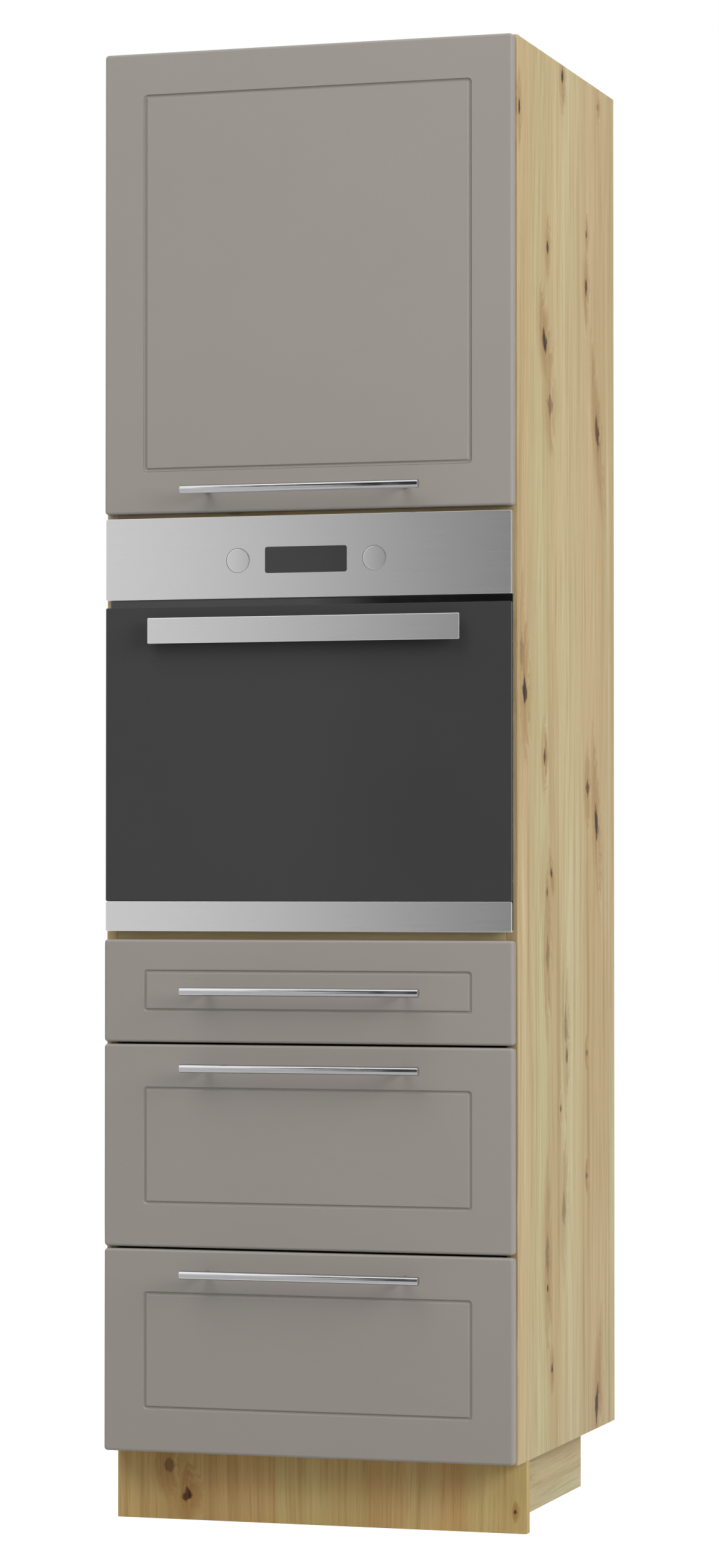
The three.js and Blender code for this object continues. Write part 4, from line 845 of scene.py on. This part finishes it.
def build_brushed(tree):
    """Fine lines along X, of slightly different shine."""
    lines = grain(tree, given["Point"], (9, 1800, 1800), 3, 0.6)
    bands = grain(tree, given["Point"], (2.0, 150, 150))
    colour = blend_colour(tree, lines, (226, 226, 226), (240, 240, 240))
    colour = blend_colour(tree, ramp(tree, bands, 0.3, 0.7, 0, 0.5), colour, (234, 234, 235))
    tree.links.new(colour, put["Color"])
    tree.links.new(maths(tree, "MULTIPLY_ADD", lines, 0.10, 0.24), put["Roughness"])
    tree.links.new(lines, put["Height"])


build_brushed(brushed_lines)


def brushed_stainless():
    """Stainless sheet, brushed along X."""
    material, tree, shader, point = bare_finish("stainless")
    lines = placed_effect(tree, brushed_lines, {"Point": point})
    set_surface(tree, shader, lines["Color"], lines["Roughness"], {"Metallic": 1})
    use_bump(tree, shader, lines["Height"], 0.000002, 0.5)
    return material


stainless = brushed_stainless()


def turned(profile, start, direction, sides=64):
    """A profile of radii and distances in millimetres, spun about an axis from its start."""
    shape = bmesh.new()
    direction = Vector(direction).normalized()
    outward = direction.orthogonal().normalized()
    start = Vector(start)
    points = [shape.verts.new(start + direction * along * MM + outward * radius * MM)
              for radius, along in profile]
    for first, second in zip(points, points[1:]):
        shape.edges.new((first, second))
    bmesh.ops.spin(shape, geom=list(shape.verts) + list(shape.edges), cent=start,
                   axis=direction, angle=2 * math.pi, steps=sides, use_merge=True)
    bmesh.ops.remove_doubles(shape, verts=shape.verts, dist=1e-6)
    bmesh.ops.recalc_face_normals(shape, faces=shape.faces)
    return shape


FASCIA_SHEET = Vector((1.5, 1.5, 1.5)) * MM
FASCIA_CORNER = 2 * MM
FASCIA_ROUNDING = 0.8 * MM
# the knob's cap, in millimetres
KNOB_RADIUS = 17
KNOB_PLAY = 0.3
KNOB_WALL = 1.5
KNOB_LENGTH = 10
KNOB_PROFILE = (
    (0, 0), (15.9, 0), (16.4, 0.11), (16.8, 0.4), (16.95, 0.7), (KNOB_RADIUS, 1.0),
    (KNOB_RADIUS, KNOB_LENGTH), (KNOB_RADIUS - KNOB_WALL, KNOB_LENGTH),
    (KNOB_RADIUS - KNOB_WALL, 2), (6, 2), (6, 12), (3.3, 12), (3.3, 5), (0, 5),
)
fascia_low, fascia_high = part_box("oven_control_panel")
fascia, _ = soft_plate(fascia_low, fascia_high, FASCIA_CORNER, FASCIA_ROUNDING, 3)
behind = Vector((0, 2 * FASCIA_SHEET.y, 0))
fascia = cut_away(fascia, slab(fascia_low + FASCIA_SHEET, fascia_high - FASCIA_SHEET + behind))
# the openings are cut from before the tray's face to behind its sheet
front = fascia_low.y - MM
through = fascia_low.y + 2 * FASCIA_SHEET.y
for hand in HANDS:
    knob_low, knob_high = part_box(f"oven_knob_{hand}")
    centre = (knob_low + knob_high) / 2
    hole = rod((centre.x, front, centre.z), (centre.x, through, centre.z),
               (KNOB_RADIUS + KNOB_PLAY) * MM, 96)
    fascia = cut_away(fascia, hole)
    cap = turned(KNOB_PROFILE, (centre.x, knob_low.y, centre.z), Y, 96)
    finished_piece(f"knob_cap_{hand}", cap, f"knob_{hand}", (stainless,),
                   [f"oven_knob_{hand}"])
window_low, window_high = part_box("oven_display")
DISPLAY_HALF = Vector((59.8, 0, 18.3)) * MM
DISPLAY_CORNER = 3.3 * MM
middle = (window_low + window_high) / 2
middle.y = through
hole = bmesh.new()
pulled_forward(hole, round_face(hole, DISPLAY_HALF.x, DISPLAY_HALF.z, DISPLAY_CORNER, middle),
               through - front)
bmesh.ops.recalc_face_normals(hole, faces=hole.faces)
fascia = cut_away(fascia, hole)
finished_piece("fascia", fascia, "carcass", (stainless,), ["oven_control_panel"])


# ---- Everything else that the unit is made of --------------------------------------
# The remaining pieces keep their drawn shape, with their edges broken and their round
# faces made smooth, and each gets the finish of its slot.
def flaked(name, dark, light, rough, spangle, metallic):
    """Plated or galvanised sheet, with a spangle to the metre."""
    material, tree, shader, point = bare_finish(name)
    flakes = add_node(tree, "TexVoronoi", {"Vector": point, "Scale": spangle}).outputs["Color"]
    value = add_node(tree, "SeparateColor", {0: flakes}).outputs[0]
    fine = grain(tree, point, 300, 3)
    mixed = maths(tree, "MULTIPLY_ADD", value, 0.6, maths(tree, "MULTIPLY", fine, 0.4))
    set_surface(tree, shader, blend_colour(tree, mixed, dark, light),
                ramp(tree, mixed, 0.1, 0.9, rough - 0.06, rough + 0.08), {"Metallic": metallic})
    use_bump(tree, shader, fine, 0.00001, 0.5)
    return material


def coated(name, dark, light, rough, fineness):
    """A coat of paint, plastic or enamel with a fine grain."""
    material, tree, shader, point = bare_finish(name)
    cloud = grain(tree, point, 12)
    fine = grain(tree, point, fineness)
    mixed = maths(tree, "MULTIPLY_ADD", cloud, 0.6, maths(tree, "MULTIPLY", fine, 0.4))
    set_surface(tree, shader, blend_colour(tree, mixed, dark, light),
                ramp(tree, fine, 0.2, 0.8, rough - 0.05, rough + 0.06))
    use_bump(tree, shader, fine, 0.00002, 0.6)
    return material


def glassy(name, dark, light, scale, rough, detail=2.0, span=(0.3, 0.7), plain=()):
    """Glass or a gloss coat, with a film on it that is a little uneven."""
    material, tree, shader, point = bare_finish(name)
    film = grain(tree, point, scale, detail)
    set_surface(tree, shader, blend_colour(tree, film, dark, light), ramp(tree, film, *span, *rough),
                plain)
    return material


def speckled_enamel():
    """Dark enamel strewn with small pale specks."""
    material, tree, shader, point = bare_finish("speckled_enamel")
    specks = add_node(tree, "TexVoronoi", {"Vector": point, "Scale": 330.0}).outputs
    pick = add_node(tree, "SeparateColor", {0: specks["Color"]}).outputs[0]
    dot = maths(tree, "MULTIPLY", ramp(tree, specks["Distance"], 0.16, 0.34, 1, 0),
                ramp(tree, pick, 0.72, 0.76))
    set_surface(tree, shader, blend_colour(tree, dot, (44, 46, 52), (150, 158, 172)),
                ramp(tree, pick, 0, 1, 0.16, 0.26), {"Coat Weight": 0.4})
    return material


def hardboard():
    """The pale lacquered face of a thin fibre board."""
    material, tree, shader, point = bare_finish("hardboard")
    hairs = grain(tree, point, (260, 90, 260), 4, 0.65)
    cloud = ramp(tree, grain(tree, point, 4), 0.4, 0.7, 0, 0.25)
    colour = blend_colour(tree, hairs, (206, 200, 186), (222, 217, 206))
    set_surface(tree, shader, blend_colour(tree, cloud, colour, (198, 191, 176)),
                ramp(tree, hairs, 0.2, 0.8, 0.66, 0.82))
    use_bump(tree, shader, hairs, 0.00005)
    return material


finish_of = {
    "back_board": hardboard(),
    "grey_steel": coated("grey_coat", (180, 182, 183), (190, 192, 192), 0.42, 500),
    "drawer_board": coated("pale_melamine", (208, 205, 198), (219, 216, 210), 0.6, 700),
    "nickel": flaked("nickel_plate", (168, 166, 160), (198, 195, 188), 0.28, 900, 1),
    "strut_black": coated("black_coat", (30, 31, 33), (38, 39, 42), 0.34, 600),
    "chrome": chrome,
    "zinc": flaked("zinc_sheet", (146, 150, 153), (186, 189, 191), 0.42, 90, 0.9),
    "enamel": speckled_enamel(),
    "brushed_steel": stainless,
    "black_glass": glassy("toughened_black", (66, 66, 66), (69, 69, 69), 6, (0.09, 0.13),
                          plain={"Specular IOR Level": 0.12}),
    "display": glassy("smoked_window", (50, 50, 51), (56, 56, 57), 40, (0.10, 0.16)),
    "black_steel": coated("black_enamel", (26, 27, 29), (36, 37, 39), 0.45, 800),
    "clear_glass": glassy("clear_pane", (216, 226, 224), (236, 242, 240), 14, (0.02, 0.07), detail=3,
                          span=(0.35, 0.75), plain={"Transmission Weight": 0.92, "IOR": 1.5}),
    "silicone": coated("grey_silicone", (44, 44, 45), (56, 56, 57), 0.75, 900),
}
recess_gloss = glassy("recess_black", (16, 16, 16), (21, 21, 21), 30, (0.08, 0.12), plain={"IOR": 1.8})

PLATE_PROUD = 1.8 * MM
FOLDED_EDGE = 0.2 * MM
plate_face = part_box("side_panel_left")[0].y - PLATE_PROUD
casing = finished_piece("casing_with_plate", merged_copy("oven_casing"), "carcass",
                        (finish_of["zinc"], recess_gloss), ["oven_casing"], edge=FOLDED_EDGE)
for face in casing.data.polygons:
    if abs(face.center.y - plate_face) < 0.1 * MM:
        face.material_index = 1

BROKEN_EDGE = 0.25 * MM
body_of = {node: body for body, members in frame["record"]["behaviour"]["bodies"].items()
           for node in members}
for row in frame["record"]["subparts"]:
    node, slot_name = row["node"], row["material_slot"]
    if nodes[node].hide_render:
        continue
    finished_piece(f"{node}_finished", merged_copy(node), body_of[node],
                   (finish_of[slot_name],), [node], smooth=40, edge=BROKEN_EDGE)


# ---- Screws, pins and nails -------------------------------------------------------
# Zinc-plated pan-head screws hold the fittings and the handles, cams draw the sides to
# the top panel, pins carry the shelf, and thin nails hold the back boards.
def cross_head(radius, rise):
    """A screw's head on the origin, facing up, with its sizes in millimetres."""
    head = turned([
        (0, rise), (0.5 * radius, 0.97 * rise), (0.8 * radius, 0.78 * rise),
        (0.95 * radius, 0.42 * rise), (radius, 0), (radius, -0.2), (0, -0.2),
    ], (0, 0, 0), Z, 20)
    for wing in (Vector((0.55, 0.11, 0)), Vector((0.11, 0.55, 0))):
        reach = wing * radius * MM
        head = cut_away(head, slab(-reach + Z * 0.3 * rise * MM, reach + Z * 2 * rise * MM))
    return head


def set_out(master, spots):
    """The master at each place, facing outwards from it."""
    pattern = bpy.data.meshes.new("pattern")
    master.to_mesh(pattern)
    master.free()
    whole = bmesh.new()
    for place, outward in spots:
        before = len(whole.verts)
        whole.from_mesh(pattern)
        turn = outward.to_track_quat("Z", "Y").to_matrix().to_4x4()
        bmesh.ops.transform(whole, matrix=Matrix.Translation(place) @ turn,
                            verts=list(whole.verts)[before:])
    bpy.data.meshes.remove(pattern)
    return whole


# radius and rise of each head, and each profile, in millimetres
PAN_HEAD = (3.4, 1.6)
HANDLE_HEAD = (4, 1.8)
FLUSH_HEAD = (3.2, 0.5)
CAM_HEAD = (7.4, 0.8)
PIN_PROFILE = ((0, 8), (2.1, 8), (2.5, 7.5), (2.5, 0.9), (4.5, 0.8), (4.5, 0.05), (0, 0.05))
NAIL_PROFILE = ((0, 0.3), (1.3, 0.27), (1.8, 0.05), (1.8, -0.1), (0, -0.1))
# the sheets that the screws go through
RUNNER_SHEET = 1.2 * MM
BRACKET_SHEET = 1.5 * MM
ARM_PLATE = 3 * MM
# places along the runners, across the hinges and up the oven, and distances from edges
RUNNER_HOLES = (39 * MM, 250 * MM, 468 * MM)
RUNNER_HOLE_HEIGHT = 10 * MM
ARM_HOLES = (-17 * MM, 17 * MM)
ARM_HOLE_FROM_REAR = 20 * MM
CUP_HOLES = (-21.3 * MM, 21.3 * MM)
OVEN_HOLES = (70 * MM, 400 * MM)
OVEN_HOLE_ASIDE = 290 * MM
CASING_HOLES = (22 * MM, 285 * MM, 550 * MM)
CASING_HOLE_ASIDE = 266 * MM
BRACKET_HOLE_FROM_EDGE = 7 * MM
BRACKET_HOLE_FROM_END = 8 * MM
PIN_RADIUS = 2.5 * MM
PIN_FROM_FRONT = 60 * MM
PIN_FROM_REAR = 108 * MM
NAIL_SPACING = 102 * MM
NAILS_IN_ROW = 6
zinc = (finish_of["zinc"],)

carcass_spots, flush_spots, flap_spots, pin_spots = [], [], [], []
side_low, side_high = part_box("side_panel_left")
pin_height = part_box("cupboard_shelf")[0].z - PIN_RADIUS
for hand, side in HANDS.items():
    inward = -side * X
    for level in ("low", "mid", "top"):
        low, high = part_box(f"drawer_{level}_runner_{hand}")
        web = side * (max(abs(low.x), abs(high.x)) - RUNNER_SHEET)
        carcass_spots += [(Vector((web, low.y + run, low.z + RUNNER_HOLE_HEIGHT)), inward)
                          for run in RUNNER_HOLES]
    low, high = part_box(f"hinge_arm_{hand}")
    middle = (low + high) / 2
    y = high.y - ARM_HOLE_FROM_REAR
    carcass_spots += [(Vector((middle.x + aside, y, high.z - ARM_PLATE)), -Z)
                      for aside in ARM_HOLES]
    low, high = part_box("oven_casing")
    flush_spots += [(Vector((side * OVEN_HOLE_ASIDE, plate_face, low.z + rise)), -Y)
                    for rise in OVEN_HOLES]
    carcass_spots += [(Vector((side * CASING_HOLE_ASIDE, high.y, low.z + rise)), Y)
                      for rise in CASING_HOLES]
    low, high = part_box(f"hinge_cup_{hand}")
    middle = (low + high) / 2
    flap_spots += [(Vector((middle.x + aside, high.y, middle.z)), Y) for aside in CUP_HOLES]
    pin_spots += [(Vector((side * top_high.x, y, pin_height)), inward)
                  for y in (side_low.y + PIN_FROM_FRONT, side_high.y - PIN_FROM_REAR)]
low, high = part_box("strut_bracket")
flap_spots += [(Vector((high.x - BRACKET_HOLE_FROM_EDGE, low.y + BRACKET_SHEET, z)), Y)
               for z in (low.z + BRACKET_HOLE_FROM_END, high.z - BRACKET_HOLE_FROM_END)]
cam_spots = [(place - CAM_POCKET * Z, Z) for place in cam_places]
finished_piece("carcass_screws", all_of(
    set_out(cross_head(*PAN_HEAD), carcass_spots),
    set_out(cross_head(*FLUSH_HEAD), flush_spots),
    set_out(cross_head(*CAM_HEAD), cam_spots),
), "carcass", zinc)
finished_piece("flap_screws", set_out(cross_head(*PAN_HEAD), flap_spots), "flap", zinc)
finished_piece("shelf_pins", set_out(turned(PIN_PROFILE, (0, 0, 0), Z, 20), pin_spots), "carcass",
               (finish_of["nickel"],))

for body in HANDLED:
    low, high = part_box(f"{body}_handle")
    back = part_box(f"{body}_front")[1].y
    spots = [(Vector((x, back, (low.z + high.z) / 2)), Y) for x in POST_PLACES]
    finished_piece(f"{body}_handle_screws", set_out(cross_head(*HANDLE_HEAD), spots), body,
                   zinc)

nail_spots = []
for board, rails in (("back_panel_lower", ("bottom_panel", "oven_shelf")),
                     ("back_panel_upper", ("cupboard_floor", "top_panel"))):
    for rail in rails:
        low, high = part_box(rail)
        for count in range(NAILS_IN_ROW):
            x = (count - (NAILS_IN_ROW - 1) / 2) * NAIL_SPACING
            place = Vector((x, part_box(board)[1].y, (low.z + high.z) / 2))
            nail_spots.append((place, Y))
finished_piece("back_nails", set_out(turned(NAIL_PROFILE, (0, 0, 0), Z, 16), nail_spots), "carcass",
               zinc)


# ---- Inside the oven --------------------------------------------------------------
# A grill tube bent to and fro under the roof, a pressed and enamelled cover in front of
# the fan, held by one screw, and a lamp under a glass dome, all fixed to the back wall.
CAVITY_SHEET = 1.5 * MM
OVEN_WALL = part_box("oven_cavity")[1].y - CAVITY_SHEET
GRILL_RADIUS = 3.2 * MM
GRILL_SIDES = 14
BEND_STEPS = 12
GRILL_RUNS = 6
GRILL_SPACING = 60 * MM
GRILL_HALF = GRILL_SPACING * (GRILL_RUNS - 1) / 2
GRILL_HEIGHT = 1229 * MM
GRILL_FRONT = -165 * MM
GRILL_REAR = 120 * MM


def grill_tube():
    """A tube drawn along its runs and spun round its bends."""
    tube = bmesh.new()
    start = Matrix.Translation(Vector((-GRILL_HALF, OVEN_WALL, GRILL_HEIGHT)))
    bmesh.ops.create_circle(tube, segments=GRILL_SIDES, radius=GRILL_RADIUS,
                            matrix=start @ Matrix.Rotation(QUARTER, 4, "X"))
    edges = list(tube.edges)
    stops = [GRILL_FRONT, GRILL_REAR] * (GRILL_RUNS // 2)
    stops[-1] = OVEN_WALL
    at = OVEN_WALL
    for run, stop in enumerate(stops):
        grown = bmesh.ops.extrude_edge_only(tube, edges=edges)["geom"]
        moved = [item for item in grown if isinstance(item, bmesh.types.BMVert)]
        edges = [item for item in grown if isinstance(item, bmesh.types.BMEdge)
                 and all(vert in moved for vert in item.verts)]
        bmesh.ops.translate(tube, vec=(0, stop - at, 0), verts=moved)
        at = stop
        if run < GRILL_RUNS - 1:
            bend = ((run + 0.5) * GRILL_SPACING - GRILL_HALF, stop, GRILL_HEIGHT)
            half_turn = math.pi if run % 2 == 0 else -math.pi
            spun = bmesh.ops.spin(tube, geom=moved + edges, cent=bend, axis=Z, angle=half_turn,
                                  steps=BEND_STEPS)["geom_last"]
            edges = [item for item in spun if isinstance(item, bmesh.types.BMEdge)]
    bmesh.ops.remove_doubles(tube, verts=tube.verts, dist=1e-6)
    bmesh.ops.holes_fill(tube, edges=[edge for edge in tube.edges if edge.is_boundary])
    bmesh.ops.recalc_face_normals(tube, faces=tube.faces)
    return tube


finished_piece("grill_element", grill_tube(), "carcass",
               (finish_of["black_steel"],), smooth=50)

FAN_CENTRE = Vector((0, OVEN_WALL, 1085 * MM))
COVER_RISE = 6.5
COVER_PROFILE = (
    (0, COVER_RISE), (86, COVER_RISE), (92, 6), (97, 4.2), (100, 1.2), (106, 0.9), (106, 0.1),
    (98, 0.1), (95, 3), (90, 4.9), (85, 5.5), (0, 5.5),
)
COVER_SLOTS = 18
SLOT_HALF = 2.5 * MM
SLOT_INNER = 34 * MM
SLOT_OUTER = 78 * MM
SLOT_REACH = 12 * MM
slots = []
for step in range(COVER_SLOTS):
    slot = slab((-SLOT_HALF, -SLOT_REACH, SLOT_INNER), (SLOT_HALF, OVERCUT, SLOT_OUTER))
    turn = Matrix.Rotation(step * 2 * math.pi / COVER_SLOTS, 4, "Y")
    bmesh.ops.transform(slot, matrix=Matrix.Translation(FAN_CENTRE) @ turn, verts=slot.verts)
    slots.append(slot)
cover = cut_away(turned(COVER_PROFILE, FAN_CENTRE, -Y, 72), all_of(*slots))
cover_screw = set_out(cross_head(*HANDLE_HEAD), [(FAN_CENTRE - COVER_RISE * MM * Y, -Y)])
finished_piece("fan_cover", all_of(cover, cover_screw), "carcass",
               (finish_of["enamel"],))

LAMP_CENTRE = Vector((170 * MM, OVEN_WALL, 1180 * MM))
DOME_PROFILE = ((0, 15), (8, 14.3), (15, 12), (20, 8), (22, 4), (22, 0.1), (0, 0.1))
RING_PROFILE = ((22.4, 0.1), (27, 0.1), (27, 2.5), (26, 3.5), (22.4, 3.5), (22.4, 0.1))
finished_piece("lamp_dome", turned(DOME_PROFILE, LAMP_CENTRE, -Y, 48), "carcass",
               (finish_of["clear_glass"],))
finished_piece("lamp_ring", turned(RING_PROFILE, LAMP_CENTRE, -Y, 48), "carcass", zinc)


# ---- Size -------------------------------------------------------------------------
low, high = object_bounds()
